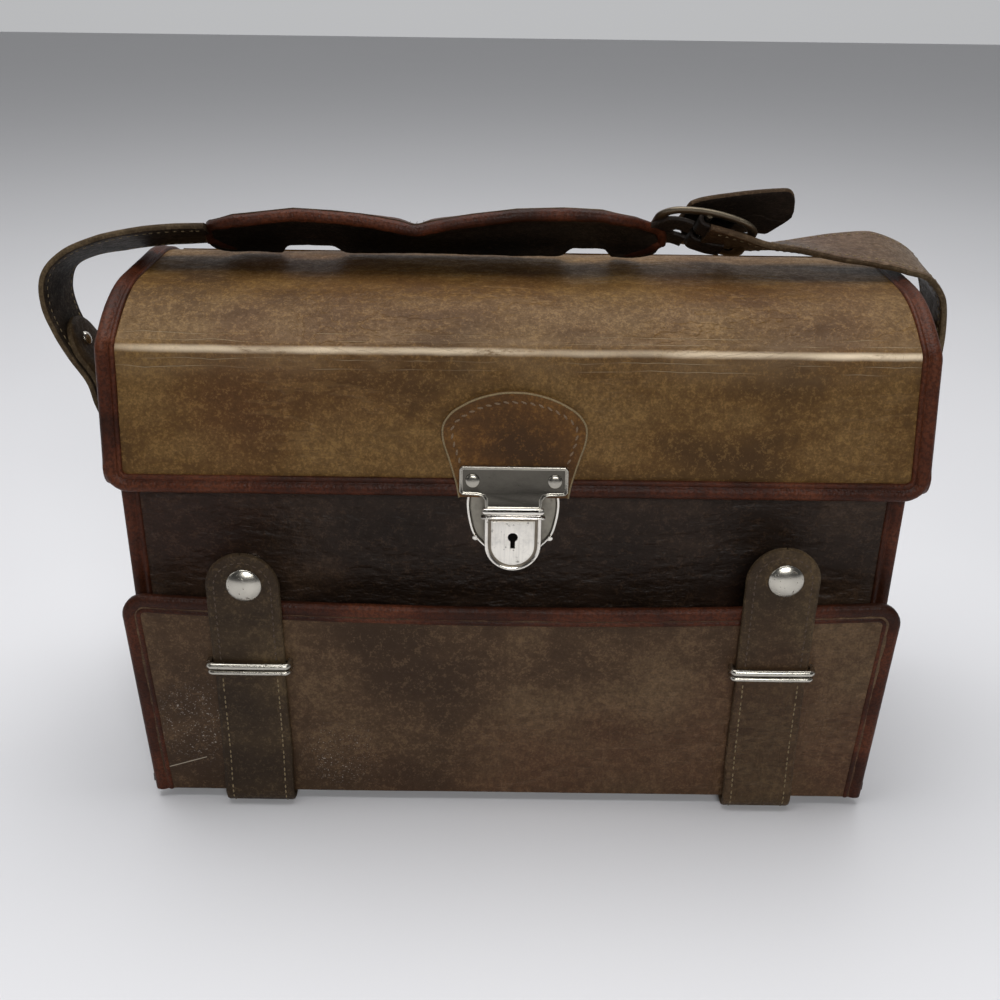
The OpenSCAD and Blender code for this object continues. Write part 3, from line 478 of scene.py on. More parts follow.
def rod(name, sides, stations, place):  # a closed-ended tube; place takes a corner and a station
    clearSelection()
    bpy.ops.mesh.primitive_cylinder_add(vertices=sides, radius=1, depth=2)
    piece = named(name)
    bpy.ops.object.mode_set(mode="EDIT")
    bpy.ops.mesh.select_mode(type="EDGE")
    bpy.ops.mesh.select_all(action="DESELECT")
    bpy.ops.object.mode_set(mode="OBJECT")
    points = piece.data.vertices
    for edge in piece.data.edges:
        first, second = edge.vertices
        edge.select = abs(points[first].co.z - points[second].co.z) > 1
    bpy.ops.object.mode_set(mode="EDIT")
    bpy.ops.mesh.subdivide_edgering(number_cuts=stations - 2, interpolation="LINEAR")
    bpy.ops.object.mode_set(mode="OBJECT")
    for point in piece.data.vertices:
        turn = (math.atan2(point.co.y, point.co.x) - math.pi / 2) / math.tau
        corner, station = round(turn * sides) % sides, round((point.co.z + 1) / 2 * (stations - 1))
        point.co = place(corner, station)
    return facedOut(piece)


def hoop(name, sides, stations, place):  # a closed loop of tube
    clearSelection()
    bpy.ops.mesh.primitive_torus_add(
        major_segments=stations, minor_segments=sides, major_radius=2, minor_radius=1)
    piece = named(name)
    for point in piece.data.vertices:
        x, y, z = point.co
        station = round(math.atan2(y, x) / math.tau * stations) % stations
        corner = round(math.atan2(z, math.hypot(x, y) - 2) / math.tau * sides) % sides
        point.co = place(corner, station)
    return facedOut(piece)


def sweep(name, frames, section, closed=False):  # each frame is a place, an across and an up direction
    def place(corner, station):
        where, across, up = frames[station]
        shape = section(station) if callable(section) else section
        a, b = shape[corner]
        return Vector(where) + Vector(across) * a + Vector(up) * b
    sides = len(section(0) if callable(section) else section)
    return (hoop if closed else rod)(name, sides, len(frames), place)


def plate(name, outline, thick, place, bevel=0.3, segments=2, rim=None):
    clearSelection()
    bpy.ops.mesh.primitive_circle_add(vertices=len(outline), fill_type="NGON")
    piece = named(name)
    for point, (x, z) in zip(piece.data.vertices, outline):
        point.co = (x, z, 0)
    bpy.ops.object.mode_set(mode="EDIT")
    bpy.ops.mesh.select_all(action="SELECT")
    bpy.ops.mesh.normals_make_consistent(inside=False)
    bpy.ops.mesh.extrude_region_move(TRANSFORM_OT_translate={"value": (0, 0, thick)})
    if rim:
        bpy.ops.mesh.inset(thickness=rim[0], depth=0)
        bpy.ops.mesh.inset(thickness=rim[1], depth=0)
        bpy.ops.transform.translate(value=(0, 0, rim[2]))
    bpy.ops.object.mode_set(mode="OBJECT")
    facedOut(piece)
    if bevel:
        modify(piece, "BEVEL", width=bevel, segments=segments, limit_method="ANGLE", angle_limit=0.6)
    for point in piece.data.vertices:
        point.co = place(*point.co)
    return facedOut(piece)


# sets a plate upright at y, its thickness running to the front, or the rear if way is 1
def facing(y, x=0, z=0, way=-1):
    return lambda a, b, d: Vector((x + a, y + way * d, z + b))


def turned(name, profile, place, sides=32):  # a turned piece from (radius, height) pairs
    def ring(corner, station):
        radius, height = profile[station]
        turn = math.tau * corner / sides
        return place(max(radius, 0.02) * math.cos(turn), max(radius, 0.02) * math.sin(turn), height)
    return rod(name, sides, len(profile), ring)


def facedOut(piece):
    selected(piece)
    bpy.ops.object.mode_set(mode="EDIT")
    bpy.ops.mesh.select_all(action="SELECT")
    bpy.ops.mesh.normals_make_consistent(inside=False)
    bpy.ops.object.mode_set(mode="OBJECT")
    return piece


def modify(piece, kind, **settings):
    selected(piece)
    change = piece.modifiers.new(kind.title(), kind)
    for key, value in settings.items():
        setattr(change, key, value)
    bpy.ops.object.modifier_apply(modifier=change.name)
    return piece


def joined(name, *pieces):
    clearSelection()
    for piece in pieces:
        piece.select_set(True)
    bpy.context.view_layer.objects.active = pieces[0]
    bpy.ops.object.join()
    return named(name)


def dressed(piece, finish, smooth=40):
    if not piece.data.materials:
        piece.data.materials.append(finishes[finish])
    selected(piece)
    bpy.ops.object.shade_smooth_by_angle(angle=math.radians(smooth))
    return piece


def twoTone(piece, first, second, isSecond):  # the second finish goes on the faces that isSecond picks
    for finish in (first, second):
        piece.data.materials.append(finishes[finish])
    for face in piece.data.polygons:
        face.material_index = int(isSecond(face))


def settled(piece, body, slotName, *nodes):
    piece.data.transform(toFrame)
    if isinstance(body, str):
        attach(piece, body)
    else:
        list(body)
        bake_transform(piece)
    if nodes:
        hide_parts(*nodes)
    return piece


# marks hold a place, a direction and an up
def stitches(name, marks, finish, long=2.2, wide=0.62, high=0.42):
    clearSelection()
    bpy.ops.mesh.primitive_uv_sphere_add(segments=6, ring_count=4, radius=1)
    first = named(name)
    first.data.transform(Matrix.Diagonal((long / 2, wide / 2, high / 2, 1)))
    made = []
    for place, along, up in marks:
        copy = first.copy()
        copy.data = first.data.copy()
        bpy.context.collection.objects.link(copy)
        along, up = Vector(along).normalized(), Vector(up).normalized()
        side = up.cross(along)
        copy.data.transform(Matrix.Translation(place) @ Matrix((along, side, up)).transposed().to_4x4())
        made.append(copy)
    bpy.data.objects.remove(first)
    return dressed(joined(name, *made), finish, 80)


def edged(piece, frames, face, edge, back=None):  # paler cut edges, and another finish on the back
    for finish in (face, edge, back or face):
        piece.data.materials.append(finishes[finish])
    places = [Vector(f[0]) for f in frames]
    for side in piece.data.polygons:
        nearest = min(range(len(places)), key=lambda i: (places[i] - side.center).length_squared)
        lean = side.normal.dot(Vector(frames[nearest][2]))
        side.material_index = 1 if abs(lean) < 0.72 else (0 if lean > 0 else 2)
    return piece


def between(points, t):  # a place along a list of points, t from 0 to 1
    at = min(max(t, 0), 1) * (len(points) - 1)
    step = min(int(at), len(points) - 2)
    return Vector(points[step]).lerp(Vector(points[step + 1]), at - step)


def smoothed(points, count):  # a soft curve through points, at evenly spaced stations
    points = [Vector(p) for p in points]
    fine = []
    for i in range(len(points) - 1):
        before, first = points[max(i - 1, 0)], points[i]
        second, after = points[i + 1], points[min(i + 2, len(points) - 1)]
        bend = 2 * before - 5 * first + 4 * second - after
        twist = 3 * first - before - 3 * second + after
        for t in [k / 12 for k in range(12)]:
            fine.append(0.5 * (2 * first + (second - before) * t + bend * t ** 2 + twist * t ** 3))
    fine.append(points[-1])
    reach = [0]
    for first, second in zip(fine, fine[1:]):
        reach.append(reach[-1] + (second - first).length)
    even, j = [], 0
    for k in range(count):
        want = reach[-1] * k / (count - 1)
        while j < len(fine) - 2 and reach[j + 1] < want:
            j += 1
        span = max(reach[j + 1] - reach[j], 1e-9)
        even.append(fine[j].lerp(fine[j + 1], min((want - reach[j]) / span, 1)))
    return even


def heading(path, i):  # which way an open path runs at its point i
    return path[min(i + 1, len(path) - 1)] - path[max(i - 1, 0)]


def pathFrames(path, across):
    return [(p, across, heading(path, i).normalized().cross(across)) for i, p in enumerate(path)]


def mirrored(frames):  # the same frames on the right side, in the order that goes on from the left ones
    return [((-p[0], p[1], p[2]), (-w[0], w[1], w[2]), n) for p, w, n in reversed(frames)]


def arc(x, y, radius, first, last, steps):
    turns = [math.radians(first + (last - first) * k / steps) for k in range(steps + 1)]
    return [(x + radius * math.cos(a), y + radius * math.sin(a)) for a in turns]


def roundSection(radius, sides=12):
    return arc(0, 0, radius, 0, 360, sides)[:-1]


def flatSection(width, thick, rounding=0.42):  # a strap's cross-section, 20 points, edges rounded
    r = thick * rounding
    x, y = width / 2 - r, thick / 2 - r
    top = [(x - 2 * x * k / 5, y + r) for k in range(6)]
    left = arc(-x, y, r, 135, 180, 1) + arc(-x, -y, r, 180, 225, 1)
    return top + left + [(-a, -b) for a, b in top + left]


# a level bar; half lists (distance, share of its thickness) from the middle out
def crossBar(name, sides, half, place):
    steps = [(-x, share) for x, share in reversed(half[1:])] + list(half)

    def around(corner, station):
        x, share = steps[station]
        turn = math.tau * corner / sides
        return place(x, share * math.cos(turn), share * math.sin(turn))
    return rod(name, sides, len(steps), around)


def oblong(half, low, high):
    return [(-half, low), (half, low), (half, high), (-half, high)]


# Lid: board covered with leather, folded over the front
lid = {
    "lead": 4, "lean": 5, "rise": 16.8, "run": 46, "arch": 2.35, "corner": 10, "board": 2.7, "foldRound": 3.4,
    "splay": {1: (2.6, -1.0), -1: (0, -2.8)},  # how far each end stands out at the flap's edge and at the top
}
foldZ = lidFlat - lid["rise"]


def flapY(z):
    return -lid["lead"] - lid["lean"] * (foldZ - z) / (foldZ - flapLow)


def archZ(y):
    front, rear = (y + lid["lead"]) / lid["run"], (caseDepth - y) / lid["run"]
    bow = lid["arch"] if front < rear else 2
    return foldZ + lid["rise"] * (1 - (1 - max(0, min(front, rear, 1))) ** bow)


def lidLine():  # from the flap's bottom edge over the fold to the hinge, as (y, z)
    low, start = foldZ - lid["foldRound"], 0.4
    heights = [flapLow + (low - flapLow) * k / 16 for k in range(17)]
    line = [(flapY(z), z) for z in heights]
    first, last = Vector(line[-1]), Vector((start, archZ(start)))
    turn = Vector((-lid["lead"] - 0.5, foldZ + 1.0))
    for k in range(1, 7):
        t = k / 6
        line.append(tuple(first * (1 - t) ** 2 + turn * 2 * t * (1 - t) + last * t * t))
    depths = [start + (caseDepth - start) * k / 44 for k in range(1, 45)]
    return line + [(y, archZ(y)) for y in depths]


lidSide = lidLine()


def splayed(point):  # both ends lean in towards the top, and the right one out low down
    share = max(0, min((point.z - flapLow) / (lidFlat - flapLow), 1))
    low, high = lid["splay"][1 if point.x > 0 else -1]
    reach = low + (high - low) * share
    return point + Vector((math.copysign(1, point.x) * reach * abs(point.x / halfLid) ** 6, 0, 0))


def lidNormal(i):
    (y0, z0), (y1, z1) = lidSide[max(i - 1, 0)], lidSide[min(i + 1, len(lidSide) - 1)]
    return Vector((0, -(z1 - z0), y1 - y0)).normalized()


def cornerHalf(z, half, low, radius):
    drop = max(0, radius - (z - low))
    return half - radius + math.sqrt(max(radius ** 2 - drop ** 2, 0))


def makeLidCover():
    half = halfLid - 0.6

    def place(u, t):
        y, z = between([(*p, 0) for p in lidSide], t).xy
        step = min(int(t * (len(lidSide) - 1)), len(lidSide) - 1)
        x = (2 * u - 1) * cornerHalf(z, half, flapLow, lid["corner"])
        sag = 0.5 * wobble((x / 55, y / 40, z / 30)) + 0.18 * wobble((x / 13, y / 18, z / 9))
        return splayed(Vector((x, y, z)) + lidNormal(step) * (sag - 0.35))
    cover = sheet("lidCover", 150, 150, place)
    modify(cover, "SOLIDIFY", thickness=lid["board"], offset=-1)
    settled(dressed(cover, "lid"), "lid", "lid_leather", "lid_top", "lid_flap")


def endOutline(cut=0.0, radius=10):
    low, back = flapLow + cut, caseDepth - cut
    front = flapY(low) + cut
    line = [(y, z - cut) for y, z in lidSide if y > -lid["lead"] + 0.5 and y < back]
    line.append((back, archZ(back) - cut))
    line += arc(back - radius, low + radius, radius, 0, -90, 6)
    line += arc(front + radius, low + radius, radius, -90, -180, 6)
    return line + [(flapY(low + radius + k) + cut, low + radius + k)
                   for k in range(4, int(foldZ - low - radius), 8)]


def makeLidEnds():
    for side, label in sideNames.items():
        end = plate("lidEnd" + label, endOutline(0.4), 2.9,
                    lambda y, z, d: splayed(Vector((side * (halfLid - 3 + d), y, z))), 0.5)
        settled(dressed(end, "lid"), "lid", "lid_leather", *(["lid_ends"] if side < 0 else []))


# A bound edge: outer roll, stitched groove, inner ridge, folded round the board
boundEdge = [
    (7.6, -0.3), (7.45, 0.45), (6.95, 0.95), (6.3, 1.0), (5.75, 0.55), (5.2, 0.1), (4.65, 0.35),
    (4.0, 0.95), (3.0, 1.35), (1.9, 1.45), (0.8, 1.2), (0.0, 0.55), (-0.55, -0.4), (-0.7, -1.5),
    (-0.5, -2.7), (0.2, -3.5), (1.6, -3.9), (4.5, -3.9), (7.2, -3.8), (7.6, -3.0),
]


def rolled(outward=0.7, proud=1.0, deep=1.0):
    return [(max(a, -outward), b * (proud if b > 0 else deep)) for a, b in boundEdge]


def puckered(section, amount, frames):
    def shape(station):
        x, y, z = frames[station][0]
        swell = amount * wobble((x / 5, y / 5, z / 5)) + 0.5 * amount * wobble((x / 2, y / 2, z / 2))
        return [(a * (1 + 0.01 * swell), b + swell * (1 if 0 < a < 5 and b > 0 else 0.3)) for a, b in section]
    return shape


def makeLidBinding():
    left = []
    for i in range(len(lidSide) - 1, -1, -1):
        y, z = lidSide[i]
        if z > flapLow + lid["corner"] or y > 0:
            left.append(((-halfLid, y, z), (1, 0, 0), lidNormal(i)))
    flapUp = lidNormal(3)
    for k in range(1, 9):
        a = math.pi / 2 * k / 8
        x, z = -halfLid + lid["corner"] * (1 - math.cos(a)), flapLow + lid["corner"] * (1 - math.sin(a))
        left.append(((x, flapY(z), z), (math.cos(a), 0, math.sin(a)), flapUp))
    span = halfLid - lid["corner"]
    bottom = [((-span + 2 * span * k / 80, flapY(flapLow), flapLow), (0, 0, 1), flapUp) for k in range(1, 80)]
    frames = [(splayed(Vector(p)), w, n) for p, w, n in left + bottom + mirrored(left)]
    front = sweep("lidBinding", frames, puckered(rolled(0.7), 0.28, frames))
    settled(dressed(front, "binding", 60), "lid", "binding", "lid_binding")
    line = endOutline()
    for side, label in sideNames.items():
        frames = []
        for i, (y, z) in enumerate(line):
            (y0, z0), (y1, z1) = line[i - 1], line[(i + 1) % len(line)]
            inward = Vector((0, z0 - z1, y1 - y0)).normalized()
            if inward.dot(Vector((0, midY - y, 190 - z))) < 0:
                inward = -inward
            frames.append((splayed(Vector((side * halfLid, y, z))), inward, (side, 0, 0)))
        ring = sweep("lidEndBinding" + label, frames, puckered(rolled(0.3, 0.55), 0.15, frames), True)
        settled(dressed(ring, "binding", 60), "lid", "binding")


makeLidCover()
makeLidEnds()
makeLidBinding()
print("lid made")

# Lock tab, hasp, slider
lock = {
    "tabHalves": [(0, 22.9), (5, 23.7), (10, 25.0), (17, 27.0), (23, 28.9), (27.5, 29.6), (31, 29.3),
                  (34, 27.8), (37, 25.2), (40, 20.6), (42.5, 15.4), (44.3, 9.2), (45.2, 3.6)],
    "tabThick": 2.0, "stitchIn": 4.1, "haspHalf": 22.5, "haspThick": 1.4,
    "haspLip": [(0, 1), (6, 1), (12.2, 1), (12.7, 0.8), (12.9, 0.4)],
    "haspSlot": [(0, 1), (5, 1), (10.2, 1), (10.6, 0.3)],
    "rivetApart": 17, "rivetUp": 6.2,
    "rivetProfile": [(3.05, -0.5), (3.05, 0.2), (2.85, 0.55), (2.3, 0.85),
                     (1.4, 1.05), (0.6, 1.12), (0, 1.14)],
    "sliderLip": [(0, 1), (6, 1), (12.8, 1), (13.4, 0.8), (13.6, 0.4)],
    "keyRoll": [(0, 1), (4, 1), (8.6, 1), (8.9, 0.3)],
    "shieldBack": -8.2, "keyhole": {"z": 135.4, "radius": 2.15, "foot": 130.2},
    "wings": [(16.2, 157.0), (18.3, 153.5), (19.6, 149.5), (19.8, 145), (19.2, 140), (18.1, 135),
              (16.6, 131.2), (13.4, 127.4), (9.6, 124.0), (4.5, 121.2), (0, 120.6)],
    "prong": [(-1.2, -1.2), (0.2, -1.2), (0.9, -0.4), (0.9, 0.5), (0.2, 1.2), (-1.2, 1.2)],
    "prongPlaces": [(16.4, 130.9), (17.6, 152.6)],
}
haspLow = drawn("hasp_plate")[1].z - 12.5
sliderLow, sliderHigh = drawn("lock_slider")
keyLow, keyHigh = drawn("key_plate")


def onFlap(x, h, d):  # h above the flap's bottom edge, d in front of its face
    z = flapLow + h
    return Vector((x, flapY(z) - d, z))


def tabOutline(cut=0.0, low=0.0):
    right = [(w, h, 0) for h, w in lock["tabHalves"]]
    line = smoothed(right + [(-w, h, 0) for w, h, _ in reversed(right)], 90)
    centre = Vector((0, 20, 0))
    out = []
    for i, p in enumerate(line):
        along = heading(line, i)
        inward = Vector((-along.y, along.x, 0)).normalized()
        if inward.dot(centre - p) < 0:
            inward = -inward
        q = p + inward * cut
        if q.y >= low and (cut or i in (0, 89) or q.y > 4.5):
            out.append((q.x, q.y))
    return out


def makeLockTab():
    thick = lock["tabThick"]
    tab = plate("lockTab", tabOutline(), thick, onFlap, 0.5, 3, (2.0, 1.6, 0.0))
    settled(dressed(tab, "tab"), "lid", "lid_leather", "lock_tab")
    line = smoothed([(x, h, 0) for x, h in tabOutline(lock["stitchIn"], 12)], 27)
    marks, up = [], Vector((0, -1, 0.08))
    for i, p in enumerate(line):
        run = heading(line, i)
        along = onFlap(run.x, run.y, 0) - onFlap(0, 0, 0)
        slant = along.normalized() + 0.35 * along.normalized().cross(up)
        marks.append((onFlap(p.x, p.y, thick + 0.02), slant, up))
    settled(stitches("lockTabStitches", marks, "stitchThread", 2.7, 0.9, 0.7), "lid", "lid_leather")
    rim = [Vector(p) for p in tabOutline(0.25)]
    frames = []
    for i, p in enumerate(rim):
        run = heading(rim, i)
        frames.append((onFlap(p.x, p.y, thick - 0.25), Vector((-run.y, 0, run.x)).normalized(), (0, -1, 0)))
    edge = sweep("lockTabEdge", frames, roundSection(0.42, 8))
    settled(dressed(edge, "oliveThread"), "lid", "lid_leather")


def makeHasp():
    half, front = lock["haspHalf"], lock["tabThick"]
    low = haspLow - flapLow
    right = [(half - 1.2, 12.5), (half, 11.3), (half, 1.3), (half - 1.2, 0.1),
             (14.6, -0.2), (12.8, -0.8), (12.0, -2.2), (11.8, -6.4)]
    outline = [(x, h + low) for x, h in right + [(-x, h) for x, h in reversed(right)]]
    body = plate("haspPlate", outline, lock["haspThick"] + 0.45,
                 lambda x, h, d: onFlap(x, h, front + d), 0.35, 3, (0.6, 0.5, -0.5))
    bar = crossBar("haspLip", 12, lock["haspLip"],
                   lambda x, c, s: onFlap(x, low - 7.0 + 1.5 * c, front + 1.6 + 1.5 * s))
    tongueTop = sliderHigh.z + 1
    tongue = plate("haspTongue", oblong(7, -2.4, 3.6), 1.0, facing(-5.45, 0, tongueTop - 1))
    arm = plate("haspArm", oblong(7, 0, 5.6), 1.3, lambda x, y, d: Vector((x, y - 11.2, tongueTop + 2 + d)))
    # the field inside the bright rim gets a far darker nickel: a painted dark reflection
    twoTone(body, "rim", "plate", lambda face: face.area > 60 and face.normal.y < -0.9)
    for piece in (bar, tongue, arm):
        piece.data.materials.append(finishes["nickel"])
    settled(dressed(joined("haspPlate", body, bar, tongue, arm), "nickel", 30), "lid", "nickel", "hasp_plate")
    # a near-black bar along the hasp's lip: painted shade in its slot
    slot = crossBar("haspSlot", 8, lock["haspSlot"],
                    lambda x, c, s: onFlap(x, low - 6.3 + 0.34 * s, front + 2.75 + 0.4 * c))
    settled(dressed(slot, "gapShade"), "lid", "nickel")
    mid, rivets = low + lock["rivetUp"], []
    for x in (-lock["rivetApart"], lock["rivetApart"]):
        rivets.append(turned("haspRivet", lock["rivetProfile"],
                             lambda a, b, d: onFlap(x + a, mid + b, front + lock["haspThick"] + d), 24))
    settled(dressed(joined("haspRivets", *rivets), "rim", 60), "lid", "nickel", "hasp_rivets")


def shieldOutline(half, low, high):
    return arc(0, low + half, half, 0, -180, 20) + [(-half, high), (half, high)]


def makeSlider():
    half, back = (sliderHigh.x - sliderLow.x) / 2, lock["shieldBack"]
    outline = shieldOutline(half, sliderLow.z, sliderHigh.z)
    shield = plate("lockSlider", outline, 1.8, facing(back), 0.45, 3, (1.1, 0.7, -0.75))
    bar = crossBar("sliderLip", 12, lock["sliderLip"],
                   lambda x, c, s: Vector((x, back - 1.0 + 1.5 * c, sliderHigh.z - 1.3 + 0.95 * s)))
    stem = plate("sliderStem", oblong(4, 0, 5.6), 3.0, facing(-5.4, 0, 130.4))
    # the recessed face inside the shield's rim gets dull dark metal: painted shade in the groove
    twoTone(shield, "nickel", "dull", lambda face: face.normal.y < -0.7 and face.center.y > back - 1.3)
    bar.data.materials.append(finishes["nickel"])
    stem.data.materials.append(finishes["nickel"])
    keyHalf = (keyHigh.x - keyLow.x) / 2 - 0.5
    key = plate("keyPlate", shieldOutline(keyHalf, keyLow.z + 0.5, keyHigh.z - 0.6), 0.85,
                lambda x, z, d: Vector((x, -9.05 - d - 0.25 * (1 - (x / keyHalf) ** 2), z)), 0.3, 3)
    keyhole = lock["keyhole"]
    hole = arc(0, keyhole["z"], keyhole["radius"], -62, 242, 24)
    hole += [(-1.0, keyhole["foot"]), (1.0, keyhole["foot"])]
    cutter = plate("keyholeCutter", hole, 6, facing(-6.5), 0)
    for piece in (key, shield):
        modify(piece, "BOOLEAN", object=cutter, operation="DIFFERENCE", solver="EXACT")
    bpy.data.objects.remove(cutter)
    settled(dressed(joined("lockSlider", shield, bar, stem), "nickel", 30), "slider", "nickel", "lock_slider")
    # a near-black plate behind the keyhole: painted shade inside the lock
    shade = plate("gapShade", hole, 1.0, facing(-8.25), 0)
    settled(dressed(shade, "gapShade"), "slider", "key_steel")
    top = crossBar("keyPlateRoll", 10, lock["keyRoll"],
                   lambda x, c, s: Vector((x, -9.75 + 0.5 * c, keyHigh.z - 1.1 + 0.6 * s)))
    settled(dressed(joined("keyPlate", key, top), "brushed", 30), "slider", "key_steel", "key_plate")


def makeSpring():  # one end stays with the case, the other goes down with the slider
    low, high = drawn("lock_spring")
    centre, turns, steps = (low + high) / 2, 7, 14
    first, last = low.z + 0.4, high.z - 0.4
    frames = []
    for k in range(turns * steps + 1):
        out = Vector((math.cos(math.tau * k / steps), math.sin(math.tau * k / steps), 0))
        height = first + (last - first) * k / (turns * steps)
        frames.append((Vector((centre.x, centre.y, height)) + out * 0.95, out, (0, 0, 1)))
    coil = sweep("lockSpring", frames, roundSection(0.35, 8))
    ends = spot(0, centre.y, first), spot(0, centre.y, last)
    settled(dressed(coil, "nickel"), ("case", "slider", *ends), "nickel", "lock_spring")


def makeBasePlate():
    right = smoothed([(x, z, 0) for x, z in lock["wings"]], 26)
    outline = [(p.x, p.y) for p in right] + [(-p.x, p.y) for p in reversed(right[:-1])]
    wings = plate("lockWings", outline, 1.2, facing(0), 0.35, 3, (0.9, 0.8, -0.55))
    # the recessed field inside the wings' rim gets the darker tint: a painted dark reflection
    twoTone(wings, "nickel", "wing", lambda face: face.normal.y < -0.7 and face.center.y > -1.0)
    settled(dressed(wings, "nickel", 30), "case", "nickel", "lock_base_plate")
    box = plate("lockHousing", shieldOutline(10.8, 120.2, 147.6), 6.6, facing(-1.25), 0.4)
    settled(dressed(box, "dull", 30), "case", "nickel", "lock_housing")
    prongs = []
    for side in (-1, 1):
        for x, z in lock["prongPlaces"]:
            prongs.append(plate("lockProng", lock["prong"], 0.7,
                                lambda a, b, d: Vector((side * (x + a), -1.22 - d, z + b)), 0.25))
    settled(dressed(joined("lockProngs", *prongs), "nickel", 30), "case", "nickel", "lock_rivets")


makeLockTab()
makeHasp()
makeSlider()
makeSpring()
makeBasePlate()
print("lock made")

# Body
body = {"bindingLow": 8, "bindingHigh": 205, "frontLow": 8.2, "inset": 5, "swell": 0.5}


def makeBody():
    rise = body["bindingHigh"] - body["bindingLow"]
    for side, label in sideNames.items():
        heights = [body["bindingLow"] + rise * k / 50 for k in range(51)]
        frames = [((side * halfCase, 0, z), (-side, 0, 0), (0, -1, 0)) for z in heights]
        strip = sweep("bodyBinding" + label, frames, puckered(rolled(0.25, 0.85, 0.9), 0.15, frames))
        settled(dressed(strip, "binding", 60), "case", "binding", *(["edge_binding"] if side < 0 else []))
    low, high = body["frontLow"], wallTop - 0.5

    def front(u, t):
        x, z = (2 * u - 1) * (halfCase - body["inset"]), low + (high - low) * t
        ripple = 0.5 + 0.5 * wobble((x / 46, z / 9, 3.1)) + 0.28 * wobble((x / 20, z / 4, 7.7))
        return Vector((x, -0.04 - body["swell"] * max(ripple, 0) * (1 - (2 * u - 1) ** 8), z))
    leatherFront = sheet("bodyFront", 150, 110, front)
    modify(leatherFront, "SOLIDIFY", thickness=0.6, offset=-1)
    settled(dressed(leatherFront, "body"), "case", "body_leather")


makeBody()

# Pocket
pocket = {"sag": 4.5, "corner": 9.5, "low": 4.0, "taper": 4.5, "swell": 0.55}
pocketLow, pocketHigh = drawn("pocket_panel")
pocketHalf = pocketHigh.x
pocketTop = pocketHigh.z
pocketFace = pocketLow.y


def pocketUpper(x):
    r = pocket["corner"]
    span = pocketHalf - r
    if abs(x) > span:
        return pocketTop - r + math.sqrt(max(r ** 2 - (abs(x) - span) ** 2, 0))
    return pocketTop - pocket["sag"] * (1 - (x / span) ** 2)


def pocketReach(t):  # half the width at a share of the height
    return pocketHalf - pocket["taper"] * (1 - t)


def makePocket():
    low, r = pocket["low"], pocket["corner"]

    def place(u, t):
        x = (2 * u - 1) * (pocketReach(t) - 0.5)
        z = low + 0.2 + (pocketUpper(x) - 0.6 - low) * t
        swell = pocket["swell"] * (1 - (2 * u - 1) ** 4) * (1 - (2 * t - 1) ** 4)
        ripple = 0.16 * wobble((x / 30, z / 12, 1.3)) + 0.3 * wobble((x / 80, z / 50, 5.5))
        return Vector((x, pocketFace - 0.12 - max(swell + ripple, -0.1) * 0.9, z))
    panel = sheet("pocketPanel", 150, 70, place)
    modify(panel, "SOLIDIFY", thickness=3.6, offset=-1)
    settled(dressed(panel, "pocket"), "pocket", "pocket_leather", "pocket_panel")
    left = []
    for k in range(41):
        where = (-pocketReach(k / 40), pocketFace, low + (pocketTop - r - low) * k / 40)
        left.append((where, (1, 0, 0), (0, -1, 0)))
    for k in range(1, 9):
        a = math.pi / 2 * k / 8
        where = (-pocketHalf + r * (1 - math.cos(a)), pocketFace, pocketTop - r + r * math.sin(a))
        left.append((where, (math.cos(a), 0, -math.sin(a)), (0, -1, 0)))
    span = pocketHalf - r
    spread = [-span + 2 * span * k / 80 for k in range(1, 80)]
    top = [((x, pocketFace, pocketUpper(x)), (0, 0, -1), (0, -1, 0)) for x in spread]
    frames = left + top + mirrored(left)
    rim = sweep("pocketBinding", frames, puckered(rolled(0.6, 0.68), 0.22, frames))
    settled(dressed(rim, "binding", 60), "pocket", "binding", "pocket_binding")


makePocket()

# Front straps, keepers and caps
fronts = {
    "x": 114.5, "width": 31.5, "thick": 3.0, "face": -17.5, "joint": 74.0,
    "stitchIn": 3.7, "stitchStep": 3.0,
    "foot": [(51, 2.5), (30, 2.5), (8, 2.5), (-6, 2.0), (-12.4, 1.6), (-17.2, 2.1), (-19.7, 5.8)],
    "keepers": [(76.0, 1.55, -20.7), (72.5, 1.15, -20.3)],  # height, thickness and front of each bar
    "caps": {-1: -113.5, 1: 115.3},
    "capProfile": [(7.2, 0.0), (7.5, 0.15), (7.55, 0.5), (7.35, 0.85), (7.0, 1.1), (6.3, 1.55),
                   (5.4, 2.0), (4.3, 2.4), (3.1, 2.7), (1.8, 2.9), (0.9, 2.97), (0, 3.0)],
    "socketProfile": [(3.0, -0.1), (3.0, 2.3), (3.4, 2.6), (5.0, 2.6), (5.3, 1.6), (5.3, 0.2),
                      (4.9, 0.0), (3.1, 0.0)],
}


def frontBulge(z, side):
    return 0.35 * max(0, z - 108) / 20 + 0.25 * abs(wobble((z / 17, side, 2.2)))


